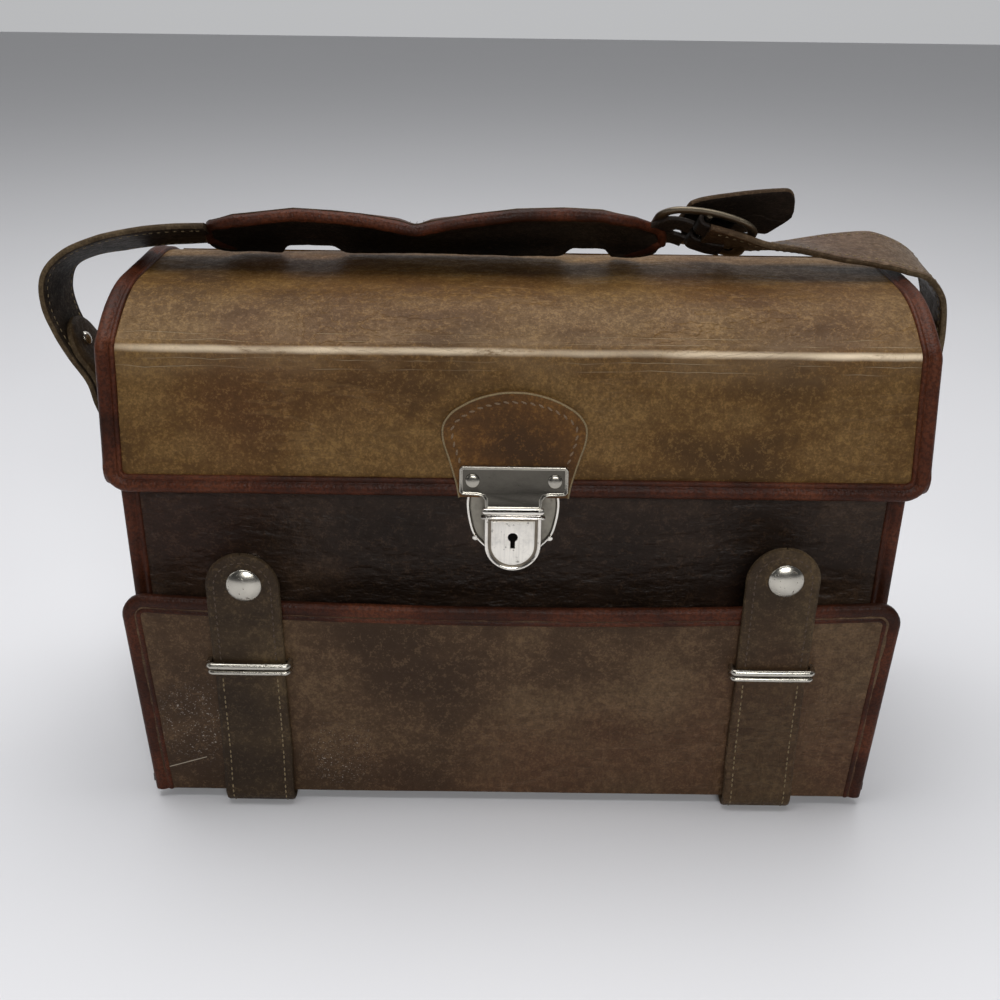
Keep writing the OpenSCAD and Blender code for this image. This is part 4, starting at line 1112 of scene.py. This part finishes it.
def makeFootStrap(side, label):  # from under the case round its front edge, up to the keeper
    x, width, thick, step = side * fronts["x"], fronts["width"], fronts["thick"], fronts["stitchStep"]
    rise = [*range(12, 70, 8), fronts["joint"]]
    upright = [(fronts["face"] - frontBulge(z, side) - 2.0 * max(0, (30 - z) / 18), z, 0) for z in rise]
    path = smoothed([(y, z, 0) for y, z in fronts["foot"]] + upright, 110)
    frames = []
    for i, p in enumerate(path):
        along = heading(path, i)
        frames.append(((x, p.x, p.y), (1, 0, 0), Vector((0, -along.y, along.x)).normalized()))

    def shape(station):  # a little wavy, and narrower under the keeper
        z = path[station].y
        pinch, wave = max(0, min((z - 40) / 34, 1)), 0.5 * wobble((z / 11, side * 4, 0))
        return flatSection(width - pinch + wave, thick)
    foot = edged(sweep("footStrap", frames, shape), frames, "strap", "raw")
    marks, gone = [], 0
    for i in range(40, 109):
        run = path[i + 1] - path[i]
        gone += run.length
        if gone > step and path[i].x < -9:
            gone -= step
            place, across, up = frames[i]
            out = up if up.y < 0 else -up
            for edge in (-1, 1):
                aside = Vector(across) * edge * (width / 2 - fronts["stitchIn"])
                where = Vector(place) + aside + out * (thick / 2 + 0.03)
                marks.append((where, Vector((0, run.x, run.y)), out))
    sewn = stitches("footStitches", marks, "oliveThread", 2.0, 0.7, 0.5)
    bend = ("case", "pocket", spot(x, -8, 2.5), spot(x, -17.5, 12))
    nodes = ["under_straps"] if side < 0 else []
    settled(joined("footStrap" + label, foot, sewn), bend, "strap_leather", *nodes)


def makeFrontStrap(side, label):  # from the keeper up to the round end of the tab
    x, thick, joint, step = side * fronts["x"], fronts["thick"], fronts["joint"], fronts["stitchStep"]
    radius = fronts["width"] / 2
    reach = radius - fronts["stitchIn"]
    crown = drawn("snap_tab_" + label.lower())[1].z - radius
    stations = [joint + (crown - joint) * k / 40 for k in range(41)]
    stations += [crown + radius * math.sin(math.pi / 2 * k / 14) for k in range(1, 15)]

    def faceY(z):
        return fronts["face"] - 0.05 - frontBulge(z, side)

    def shape(station):
        z = stations[station]
        drop = max(0, z - crown)
        half = max(math.sqrt(max(radius ** 2 - drop ** 2, 0)), 0.5) + 0.15 * wobble((z / 9, side * 3, 0))
        return flatSection(2 * half, thick if station < 53 else thick * 0.6)
    frames = [((x, faceY(z), z), (1, 0, 0), (0, -1, 0)) for z in stations]
    band = edged(sweep("frontStrap", frames, shape), frames, "strap", "raw")
    seam = []
    for edge in (-1, 1):
        z = joint + 2
        while z < crown:
            seam.append((x + edge * reach, z, (0.1 * edge, 0, 1)))
            z += step
    turns = int(math.pi * reach / step)
    for k in range(turns + 1):
        a = math.pi * k / turns
        seam.append((x + reach * math.cos(a), crown + reach * math.sin(a), (-math.sin(a), 0, math.cos(a))))
    marks = [((a, faceY(z) - thick / 2 + 0.03, z), along, (0, -1, 0)) for a, z, along in seam]
    sewn = stitches("frontStitches", marks, "darkThread", 2.0, 0.7, 0.5)
    bend = ("pocket", label.lower() + "_tab", spot(x, fronts["face"], 101), spot(x, fronts["face"], 112))
    nodes = ["snap_tab_" + label.lower()] + (["front_straps"] if side < 0 else [])
    settled(joined("frontStrap" + label, band, sewn), bend, "strap_leather", *nodes)


def makeKeepers():
    bars, reach = [], fronts["width"] / 2 + 1.6
    for side in (-1, 1):
        x = side * fronts["x"]
        for z, r, y in fronts["keepers"]:
            half = [(reach, pocketFace + 1), (reach, y + 1.6), (reach - 0.9, y + 0.2), (reach - 3, y)]
            right = [(x + a, b, z) for a, b in reversed(half)]
            path = smoothed([(x - a, b, z) for a, b in half] + [(x, y - 0.15, z)] + right, 60)
            bars.append(sweep("keeperBar", pathFrames(path, zWay), roundSection(r, 14)))
    settled(dressed(joined("strapKeepers", *bars), "cap", 50), "pocket", "nickel", "strap_keepers")


def makeCaps():
    for side, label in sideNames.items():
        node = "snap_cap_" + label.lower()
        low, high = drawn(node)
        x, z = fronts["caps"][side], (low.z + high.z) / 2
        dome = turned("snapCap", fronts["capProfile"], facing(-19.3, x, z), 48)
        socket = turned("snapSocket", fronts["socketProfile"], facing(-16.0, x, z, 1))
        cap = joined("snapCap" + label, dome, socket)
        settled(dressed(cap, "cap", 35), label.lower() + "_tab", "nickel", node)


for side, label in sideNames.items():
    makeFootStrap(side, label)
    makeFrontStrap(side, label)
makeKeepers()
makeCaps()
print("pocket and front straps made")

# Shoulder strap
strap = {
    "width": 31.5, "thick": 3.0, "outLeft": 212, "outRight": 188, "crown": lidFlat + 15.5,
    "buckle": (80, lidFlat + 19.4), "legX": 185.2, "legZ": 162.5, "tail": 43,
    "stitchIn": 3.6, "stitchStep": 3.3,
}
buckleX, buckleZ = strap["buckle"]
run = halfLid - buckleX
ringX, ringZ, top = strap["legX"], strap["legZ"], strap["crown"]
outLeft, outRight, tailLong = -strap["outLeft"], strap["outRight"], strap["tail"]
# Each route lists x, how far behind the case's middle, z, and the tilt in degrees
leftRoute = [
    (-ringX + 0.2, 0, ringZ - 2.5, 0), (-ringX - 3.5, 0, ringZ + 8, 0), (-ringX - 6, 0, ringZ + 19, 0),
    (outLeft + 14, 0, ringZ + 31, 0), (outLeft + 9, 0, ringZ + 43, -1), (outLeft + 6.8, 0, ringZ + 55, -4),
    (outLeft + 9.8, 0, top - 19, -9), (outLeft + 20, 0, top - 11.5, -16), (outLeft + 35, 0, top - 7.0, -22),
    (outLeft + 52, 0, top - 4.0, -24), (-146, 0, top - 2.8, -25), (-133, 0.5, top - 2.3, -24),
]
rightRoute = [
    (buckleX + 1, -3.2, buckleZ - 4.4, -30), (buckleX + 0.156 * run, -3.2, buckleZ - 6.0, -22),
    (buckleX + 0.289 * run, -3, buckleZ - 8.2, -16), (buckleX + 0.456 * run, -2, lidFlat + 11, -8),
    (buckleX + 0.667 * run, -2, lidFlat + 10.8, 6), (buckleX + 0.856 * run, -2, lidFlat + 10.2, 14),
    (halfLid, -1, lidFlat + 6.4, 11), (outRight - 9, 0, lidFlat + 1.5, 4),
    (outRight - 2.5, 0, lidFlat - 8, 0), (outRight, 0, lidFlat - 22, 0),
    (outRight, 0, ringZ + 33, 0), (outRight - 2, 0, ringZ + 18, 0),
    (ringX + 1, 0, ringZ + 4, 0), (ringX - 1.7, 0, ringZ - 2.6, 0),
]
tailRoute = [
    (buckleX - 9, 1.3, buckleZ + 0.2, -36), (buckleX - 5, 1.6, buckleZ + 1.9, -38),
    (buckleX, 2, buckleZ + 3.8, -40), (buckleX + 0.26 * tailLong, 2.6, buckleZ + 5.1, -42),
    (buckleX + 0.52 * tailLong, 2, buckleZ + 5.8, -46), (buckleX + 0.76 * tailLong, 1, buckleZ + 6.0, -50),
    (buckleX + 0.92 * tailLong, 0.5, buckleZ + 5.8, -51),
]


def ribbonFrames(route, count):
    points = [Vector((x, midY + y, z)) for x, y, z, _ in route]
    places = smoothed(points, count)
    reach = [0]
    for first, second in zip(points, points[1:]):
        reach.append(reach[-1] + (second - first).length)
    frames = []
    for i, place in enumerate(places):
        here = reach[-1] * i / (count - 1)
        k = max(j for j in range(len(route) - 1) if reach[j] <= here + 1e-6)
        share = (here - reach[k]) / (reach[k + 1] - reach[k])
        tilt = math.radians(route[k][3] + (route[k + 1][3] - route[k][3]) * share)
        up = heading(places, i).normalized().cross(yWay).normalized()
        across = yWay * math.cos(tilt) + up * math.sin(tilt)
        frames.append((place, across, up * math.cos(tilt) - yWay * math.sin(tilt)))
    return frames


def seamRows(frames, upward):  # two rows of stitches on the strap's upper or under side
    marks, gone = [], 0
    reach, proud = strap["width"] / 2 - strap["stitchIn"], strap["thick"] / 2 + 0.03
    for i in range(2, len(frames) - 1):
        place, across, up = frames[i]
        along = frames[i + 1][0] - place
        gone += along.length
        if gone >= strap["stitchStep"]:
            gone -= strap["stitchStep"]
            for edge in (-1, 1):
                marks.append((place + across * edge * reach + up * upward * proud, along, up * upward))
    return marks


def makeStrapBands():
    sides = ("Left", leftRoute, 170, "inner"), ("Right", rightRoute, 220, "strap")
    for label, route, count, back in sides:
        frames = ribbonFrames(route, count)
        band = sweep("shoulder" + label, frames, flatSection(strap["width"], strap["thick"]))
        edged(band, frames, "upper", "raw", back)
        marks = seamRows(frames, 1) + seamRows(frames, -1)
        sewn = stitches("shoulderStitches" + label, marks, "oliveThread", 2.1, 0.6, 0.42)
        whole = joined("shoulderStrap" + label, band, sewn)
        settled(whole, "shoulder_strap", "strap_leather", "strap_" + label.lower())


def makeStrapFolds():  # each leg is doubled above its ring and riveted
    width, thick = strap["width"], strap["thick"]
    profile = [(3.1, -0.3), (3.2, 0.2), (2.9, 0.7), (2.2, 1.2), (1.2, 1.5), (0, 1.6)]
    folds, studs = [], []
    for sign, route in ((1, leftRoute[:5]), (-1, rightRoute[:-6:-1])):
        frames = [(p - n * sign * (thick + 0.15), w, n) for p, w, n in ribbonFrames(route, 50)]

        def shape(station):
            left = (49 - station) * 0.9
            half = (width - 1) / 2
            half = half if left > half else math.sqrt(max(half ** 2 - (half - left) ** 2, 0.4))
            return flatSection(2 * half, thick if station < 48 else thick * 0.6)
        folds.append(edged(sweep("strapFold", frames, shape), frames, "strap", "raw"))
        place, across, up = frames[38]
        inward, long = up * -sign, across.cross(up)
        base = place + inward * (thick / 2)
        studs.append(turned("foldRivet", profile,
                            lambda a, b, d: base + across * a + long * b + inward * d, 24))
    settled(dressed(joined("strapFolds", *folds), "strap"), "shoulder_strap", "strap_leather", "strap_folds")
    settled(dressed(joined("strapRivets", *studs), "nickel"), "shoulder_strap", "nickel", "strap_rivets")


def makeStrapTail():
    frames = ribbonFrames(tailRoute, 50)

    def shape(station):  # rounded on the near side, cut slanting on the far side
        left = (49 - station) / 49 * (tailLong * 0.92 + 9)
        near = math.sqrt(max(1 - (1 - min(left / 6, 1)) ** 2, 0.03)) * min(1, 0.3 + station / 10)
        far = min(1, 0.12 + 0.88 * (left / 8.5) ** 0.8)
        return [(a * (near if a < 0 else far), b * 0.85)
                for a, b in flatSection(strap["width"] - 1, strap["thick"])]
    tail = edged(sweep("strapTail", frames, shape), frames, "upper", "raw", "under")
    settled(dressed(tail, "strap"), "shoulder_strap", "strap_leather", "strap_tail")


rings = {
    "barOut": 3.73, "barZ": 135.0, "topOut": 10.54, "topZ": 148.03, "margin": 2.6, "bend": 3.0, "wire": 1.6,
    "foldLean": 25, "foldThick": 2.9,
    "fold": [(1.56, 12.6), (1.56, 9), (2.0, 5.5), (2.9, 2.4), (3.2, 0), (2.3, -2.2)],
}


def makeRings():
    reach, r = strap["width"] / 2 + rings["margin"], rings["bend"]
    for side, label in sideNames.items():
        lower = Vector((side * (halfCase + rings["barOut"]), midY, rings["barZ"]))
        upper = Vector((side * (halfCase + rings["topOut"]), midY, rings["topZ"]))
        rise, high = (upper - lower).normalized(), (upper - lower).length
        corners = [Vector(c) for c in ((-reach, 0), (reach, 0), (reach, high), (-reach, high))]
        line = []
        for i, here in enumerate(corners):
            before, after = corners[i - 1], corners[(i + 1) % 4]
            first, last = here + (before - here).normalized() * r, here + (after - here).normalized() * r
            for t in [k / 8 for k in range(9)]:
                line.append(first * (1 - t) ** 2 + here * 2 * t * (1 - t) + last * t * t)
            for t in (0.25, 0.5, 0.75):
                line.append(last.lerp(after + (here - after).normalized() * r, t))
        path = [lower + yWay * p.x + rise * p.y for p in line]
        flat = rise.cross(yWay)
        frames = []
        for i, p in enumerate(path):
            along = (path[(i + 1) % len(path)] - path[i - 1]).normalized()
            frames.append((p, flat, along.cross(flat)))
        ring = sweep("strapRing" + label, frames, roundSection(rings["wire"], 12), True)
        body, end = label.lower() + "_ring", label.lower()
        settled(dressed(ring, "nickel", 50), body, "nickel", "strap_ring_" + end)
        # the strap's end, folded round the ring's upper bar
        lean = math.radians(rings["foldLean"])
        up = Vector((side * math.sin(lean), 0, math.cos(lean)))
        out = Vector((side * math.cos(lean), 0, -math.sin(lean)))
        loop = rings["fold"] + [(0, -3.2)] + [(-a, b) for a, b in reversed(rings["fold"])]
        path = smoothed([upper + out * a + up * b for a, b in loop], 60)
        fold = sweep("strapEnd" + label, pathFrames(path, yWay),
                     flatSection(strap["width"] - 0.4, rings["foldThick"]))
        settled(dressed(fold, "strap"), body, "strap_leather", "strap_end_" + end)


# The pad: rolled edges with a seam, a dark flat underside, notched where the strap runs through
pad = {
    "left": -136.5, "right": 66, "width": 41, "thick": 11, "crease": -43.5, "roll": 2.9,
    "tip": 0.1, "tipRoll": 2.2, "notches": ((0.155, 0.29), (0.78, 0.885)), "notchDeep": 9, "slant": 10,
    "crest": ((-136.5, 249.5), (-132, 253), (-121, 256.6), (-95, 259.5), (-78, 258.7), (-64, 257.4),
              (-50, 255.2), (-43.5, 253.4), (-37, 255.0), (-19.5, 258), (0, 260.3), (20, 261),
              (36, 260.4), (50.5, 257.3), (61, 252.9), (66, 249)),
    "rivetX": -18, "stations": 130, "fill": 0.7,
    "rivetProfile": [(3.0, -0.2), (3.1, 0.2), (2.7, 0.7), (1.9, 1.1), (0.9, 1.3), (0, 1.35)],
}


def padAt(u):
    return pad["left"] + (pad["right"] - pad["left"]) * u


def padCrest(u):  # how high the near edge stands at u
    x = padAt(u)
    for (x0, z0), (x1, z1) in zip(pad["crest"], pad["crest"][1:]):
        if x <= x1 + 1e-6:
            return z0 + (z1 - z0) * (x - x0) / (x1 - x0)
    return pad["crest"][-1][1]


def padEnds(u):  # 0 at the very tips, 1 along the body of the pad
    near = min(u / 0.075, (1 - u) / 0.12)
    return math.sqrt(max(1 - (1 - near) ** 2, 0.0)) if near < 1 else 1


def padWide(u):
    taper = 0.94 + 0.6 * u if u < 0.1 else (1 - 1.3 * (u - 0.88) if u > 0.88 else 1)
    return pad["width"] * taper * (0.12 + 0.88 * padEnds(u))


def padThick(u):
    dip = math.exp(-((padAt(u) - pad["crease"]) / 4) ** 2)
    return pad["thick"] * min(1, 0.5 + 6 * u, 0.42 + 3.6 * (1 - u)) * (1 - 0.22 * dip)


def padRoll(u):
    return min(padThick(u) * 0.30, pad["roll"]) * (0.3 + 0.7 * padEnds(u))


def padTurn(u):  # the pad stands on its far edge and leans until the near edge is at the crest
    roll, rise = padRoll(u), padCrest(u) - lidFlat - 0.6
    return -math.asin(max(0.05, min((rise - 2 * roll) / (padWide(u) - 2 * roll), 0.85)))


def padFar(u, notch=0):  # how far the far edge reaches from the middle
    slant = max(0, 1 - min(u / 0.06, (1 - u) / 0.08)) ** 1.5
    return max(padWide(u) / 2 - pad["notchDeep"] * notch - pad["slant"] * slant, 0.1 * padWide(u))


def padFrame(u):
    turn, roll = padTurn(u), padRoll(u)
    across = Vector((0, math.cos(turn), math.sin(turn)))
    up = Vector((0, -math.sin(turn), math.cos(turn)))
    lowest = across.z * (padWide(u) / 2 - roll) + up.z * roll * 0.1 - roll
    resting = lidFlat + 0.6 - lowest  # the far edge on the lid
    # the near edge at the crest, for the tips
    hanging = padCrest(u) + across.z * (padWide(u) / 2 - roll) - roll
    return Vector((padAt(u), midY + 1.5, max(resting, hanging))), across, up


def padSection(u):  # 24 points: the near roll, the flat underside, the far roll, the crowned top
    wide, roll = padWide(u) / 2, padRoll(u)
    notch = max(min(1, (u - first) / 0.012, (last - u) / 0.012) for first, last in pad["notches"])
    far = padFar(u, max(notch, 0))
    points = arc(roll - wide, roll * 0.1, roll, 90, 270, 6)
    points += [(-wide + 2 * roll + 0.3, -roll * 0.5), (-wide * 0.5, -roll * 0.35), (0, -roll * 0.4)]
    points += [(far * 0.5, -roll * 0.45), (far - 2 * roll - 0.2, -roll * 0.5)]
    points += arc(far - roll, roll * 0.1, roll, 270, 450, 6)
    crown = padThick(u) * (0.34 + 0.28 * padEnds(u))
    for share, high in ((0.72, 0.8), (0.4, 1.0), (0.0, 1.03), (-0.4, 1.0), (-0.72, 0.82)):
        points.append(((far - roll) * share if share > 0 else (wide - roll) * share, crown * high))
    return points


def padTip(end):  # the roll goes on round a tip
    edge = []
    for k in range(-15, 16):
        near = pad["tip"] * (k / 15) ** 2
        u = near if end == 0 else 1 - near
        edge.append(Vector((padAt(u), padFar(u) if k < 0 else -padWide(u) / 2, 0)))
    rim = []
    for k, p in enumerate(edge):
        along = heading(edge, k)
        inward = Vector((-along.y, along.x, 0)).normalized()
        inward = inward if inward.x * (1 - 2 * end) > 0 or abs(inward.x) < 0.05 else -inward
        inset = p + inward * pad["tipRoll"]
        where, across, up = padFrame((inset.x - pad["left"]) / (pad["right"] - pad["left"]))
        rim.append((where + across * inset.y + up * 0.4, xWay * inward.x + across * inward.y, up))
    return sweep("padTip", rim, roundSection(pad["tipRoll"], 12))


def makePad():
    even = [k / (pad["stations"] - 1) for k in range(pad["stations"])]
    shares = [t - 0.135 * math.sin(math.tau * t) for t in even]  # closer at the ends
    frames = [padFrame(u) for u in shares]

    def station(x):
        return min(range(len(shares)), key=lambda k: abs(padAt(shares[k]) - x))

    def isUnder(face):
        i = station(face.center.x)
        where, across, up = frames[i]
        aside, rise = (face.center - where).dot(across), (face.center - where).dot(up)
        roll = padRoll(shares[i])
        return rise < 0.3 * roll and aside > -padWide(shares[i]) / 2 + 1.5 * roll
    shell = sweep("padShell", frames, lambda i: padSection(shares[i]))
    twoTone(shell, "binding", "under", isUnder)
    modify(shell, "SUBSURF", levels=1, render_levels=1)
    for point in shell.data.vertices:
        x, y, z = point.co
        point.co.z += 0.3 * wobble((x / 12, y / 7, z / 7)) + 0.14 * wobble((x / 3, y / 3, z / 3))
    settled(dressed(shell, "binding", 60), "shoulder_strap", "pad_cover", "shoulder_pad")
    tips = joined("padTips", padTip(0), padTip(1))
    settled(dressed(tips, "binding", 60), "shoulder_strap", "pad_cover")
    seam = []
    for u, (where, across, up) in list(zip(shares, frames))[8:-8]:
        roll = padRoll(u)
        seam.append((where + across * (roll * 0.7 - padWide(u) / 2) + up * roll, across, up))
    settled(dressed(sweep("padSeam", seam, roundSection(0.4, 8)), "raw"), "shoulder_strap", "pad_cover")
    where, across, up = frames[station(pad["rivetX"])]
    centre = where + across * -4.5 + up * 0.5
    stud = turned("padRivet", pad["rivetProfile"],
                  lambda a, b, d: centre + xWay * a + across * b - up * d, 24)
    settled(dressed(stud, "dull"), "shoulder_strap", "dull_metal")
    crease = station(pad["crease"])
    knot = []
    for k in (crease - 1, crease, crease + 1):
        where, across, up = frames[k]
        knot.append((where + across * (1.2 - padWide(shares[k]) / 2) + up * 2.7, Vector((0.3, 0.4, 1)), up))
    settled(stitches("padKnot", knot, "darkThread", 3.0, 0.9, 0.9), "shoulder_strap", "pad_cover")


buckle = {
    "drop": 1.8, "turn": 10, "lean": -35, "half": (20.3, 16.8), "corner": 7.0, "bar": (1.4, 15.8),
    "prong": [(-2.4, 0.9), (-1.4, 2.2), (0.5, 2.6), (4, 2.5), (9, 2.2), (14, 1.9), (18, 2.0), (21, 2.1)],
    "strapLoop": {"reach": 3.0, "width": 27.5}, "padLoop": {"width": 26}, "slit": 2.5,
}
buckleTilt = (Matrix.Rotation(math.radians(buckle["turn"]), 4, "Y")
              @ Matrix.Rotation(math.radians(buckle["lean"]), 4, "X"))
onBuckle = Matrix.Translation((buckleX, midY - 1, buckleZ - buckle["drop"])) @ buckleTilt
buckleWay = onBuckle.to_3x3()


def makeBuckle():
    (halfX, halfY), r = buckle["half"], buckle["corner"]
    line = []
    for x, y, start in ((1, 1, 0), (-1, 1, 90), (-1, -1, 180), (1, -1, 270)):
        line += arc(x * (halfX - r), y * (halfY - r), r, start, start + 90, 8)
    outline = []
    for i, p in enumerate(line):
        q = line[(i + 1) % len(line)]
        outline.append(p)
        if math.dist(p, q) > 4:
            outline += [(p[0] + (q[0] - p[0]) * k / 6, p[1] + (q[1] - p[1]) * k / 6) for k in range(1, 6)]
    frames = []
    for i, (x, y) in enumerate(outline):
        before, after = outline[i - 1], outline[(i + 1) % len(outline)]
        along = Vector((after[0] - before[0], after[1] - before[1], 0)).normalized()
        bow = 1.0 - 3.0 * (x / 20) ** 2
        across = buckleWay @ Vector((along.y, -along.x, 0))
        frames.append((onBuckle @ Vector((x, y, bow)), across, buckleWay @ zWay))

    def shape(station):  # the far rail is a little wider
        wide = 2.2 + 0.7 * max(0, outline[station][1]) / halfY
        return [(wide * a, 1.35 * b) for a, b in roundSection(1, 12)]
    loop = sweep("buckleFrame", frames, shape, True)
    r, reach = buckle["bar"]
    places = [Vector((0, reach * (2 * k / 11 - 1), 0.3)) for k in range(12)]
    bar = sweep("buckleBar",
                [(onBuckle @ p, buckleWay @ xWay, buckleWay @ zWay) for p in places], roundSection(r))
    settled(dressed(joined("buckleFrame", loop, bar), "buckle", 40),
            "shoulder_strap", "dull_metal", "buckle_frame")


def loopBands(path, widths, slits):  # two bands, with the prong's slot between them
    path, bands = smoothed([(x, z, 0) for x, z in path], 40), []
    for half in (-1, 1):
        frames = []
        for i, p in enumerate(path):
            along = heading(path, i)
            up = Vector((-along.y, 0, along.x)).normalized()
            aside = half * (widths[i] / 2 + slits[i])
            frames.append((onBuckle @ Vector((p.x, aside, p.y)), buckleWay @ yWay, buckleWay @ up))
        bands.append(sweep("buckleLoop", frames, lambda i: flatSection(widths[i], 2.2)))
    return bands


# the strap's end folded round the bar, and the pad's leather that reaches in from the left
def makeBuckleLoops():
    slit, steps = buckle["slit"], range(40)
    reach, wide = buckle["strapLoop"]["reach"], buckle["strapLoop"]["width"] / 2
    angles = [math.radians(d) for d in range(-20, -181, -16)]
    fold = [(reach * math.sin(a), reach * math.cos(a) * 0.85 - 0.4) for a in angles]
    path = [(12, 1.6), (7, 2.4), (2.5, 3.0)] + fold + [(3, -3.4), (7, -3.8), (12, -3.6)]
    loops = loopBands(path, [wide - slit for i in steps], [slit for i in steps])
    wide = buckle["padLoop"]["width"] / 2
    path = [(-24, -5.5), (-20, -3.8), (-14, -2.4), (-9, -2.4), (-5.6, -3.0)]
    slits = [slit * max(0, min((i - 22) / 6, 1)) for i in steps]
    loops += loopBands(path, [(wide - slits[i]) * min(1, 0.4 + i / 26) for i in steps], slits)
    settled(dressed(joined("buckleLoop", *loops), "under"), "shoulder_strap", "strap_leather")


def makeProng():
    path = smoothed([(x, z, 0) for x, z in buckle["prong"]], 30)
    frames = [(onBuckle @ Vector((p.x, 0, p.y)), buckleWay @ yWay, buckleWay @ zWay) for p in path]

    def shape(station):
        wide = 1.25 - 0.12 * max(0, station - 24)
        return [(a * wide, b * 0.6) for a, b in roundSection(1, 10)]
    settled(dressed(sweep("buckleProng", frames, shape), "buckle", 40), "prong", "dull_metal", "buckle_prong")


makeStrapBands()
makeStrapFolds()
makeStrapTail()
makeRings()
makePad()
makeBuckle()
makeBuckleLoops()
makeProng()
print("shoulder strap made")

# Hinge leather at the back: up the rear wall, then forward over the lid
hinge = {
    "low": 188, "high": 212, "out": 0.9, "inset": 7.5, "thick": 1.5, "over": (124, 121, 118, 115, 112, 109),
    "bend": [(1.3, 212), (1.5, 214.5), (0.6, 216.6)],
}


def makeHinge():
    line = [Vector((caseDepth + hinge["out"], z)) for z in range(hinge["low"], hinge["high"], 2)]
    line += [Vector((caseDepth + out, z)) for out, z in hinge["bend"]]
    line += [Vector((y, archZ(y) + 0.7)) for y in hinge["over"]]
    frames = []
    for i, p in enumerate(line):
        along = heading(line, i)
        frames.append(((0, p.x, p.y), xWay, Vector((0, along.y, -along.x)).normalized()))
    strip = sweep("hingeLeather", frames, flatSection(2 * (halfCase - hinge["inset"]), hinge["thick"]))
    bend = ("case", "lid", spot(0, 126, 205), spot(0, 119, 221))
    settled(dressed(strip, "lid"), bend, "lid_leather", "hinge_strip", "lid_hinge_strip")


makeHinge()

# Padding inside: a tufted cushion on the floor and an upright partition at each end
padding = {"tufts": (-0.5, 0, 0.5), "tuftDeep": 3.5, "cushionFill": 0.5, "half": 5, "wallFill": 0.6}


def makeCushion():
    low, high = drawn("floor_cushion")
    middle, size = (low + high) / 2, high - low

    def cushion(u, t):
        x, y = 2 * u - 1, 2 * t - 1
        puff = (1 - abs(x) ** 5) ** 0.5 * (1 - abs(y) ** 5) ** 0.5
        tuft = sum(math.exp(-((x - a) ** 2 * 60 + y ** 2 * 30)) for a in padding["tufts"])
        z = low.z + size.z * (0.25 + 0.75 * puff) - padding["tuftDeep"] * tuft
        return Vector((middle.x + x * size.x / 2, middle.y + y * size.y / 2, z))
    top = sheet("floorCushion", 60, 30, cushion)
    modify(top, "SOLIDIFY", thickness=6, offset=-1)
    for point in top.data.vertices:
        point.co.z = max(point.co.z, low.z + 0.2)
    modify(top, "SUBSURF", levels=1, render_levels=1)
    settled(dressed(top, "plush"), "case", "padding", "floor_cushion")


def makePartitions():
    low, high = drawn("padded_partitions")
    half, walls = padding["half"], []
    for x in (low.x + half, high.x - half):
        def face(corner, station):
            s, turn = station / 29, math.tau * corner / 24
            c, d = math.cos(turn), math.sin(turn)
            puff = 0.72 + 0.28 * math.sqrt(max(1 - (2 * s - 1) ** 8, 0))
            y = midY + (high.y - low.y) / 2 * math.copysign(abs(c) ** 0.3, c) * (0.93 + 0.07 * puff)
            aside = half * puff * math.copysign(abs(d) ** 0.75, d)
            return Vector((x + aside, y, low.z + (high.z - low.z) * s))
        walls.append(rod("partition", 24, 30, face))
    both = joined("paddedPartitions", *walls)
    settled(dressed(both, "plush"), "case", "padding", "padded_partitions")


makeCushion()
makePartitions()

# Finishes for the CAD nodes that stay
kept = {
    "body": ["bottom_panel", "front_panel", "back_panel", "left_end_panel", "right_end_panel",
             "pocket_gussets", "chape_left", "chape_right"],
    "cloth": ["case_lining", "lid_lining"],
    "nickel": ["metal_feet", "lock_back_plate", "snap_studs", "under_strap_rivets", "chape_rivets"],
}
for finish, names in kept.items():
    for name in names:
        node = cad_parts[name]
        node.data.materials.clear()
        node.data.materials.append(finishes[finish])

clearSelection()
bpy.ops.mesh.primitive_plane_add(size=2)
floor = named("floor")
for point in floor.data.vertices:
    point.co = spot(point.co.x * table["half"], table["back"] if point.co.y > 0 else table["front"], -0.2)
floor.data.materials.append(floorPaint())
print("all pieces made")
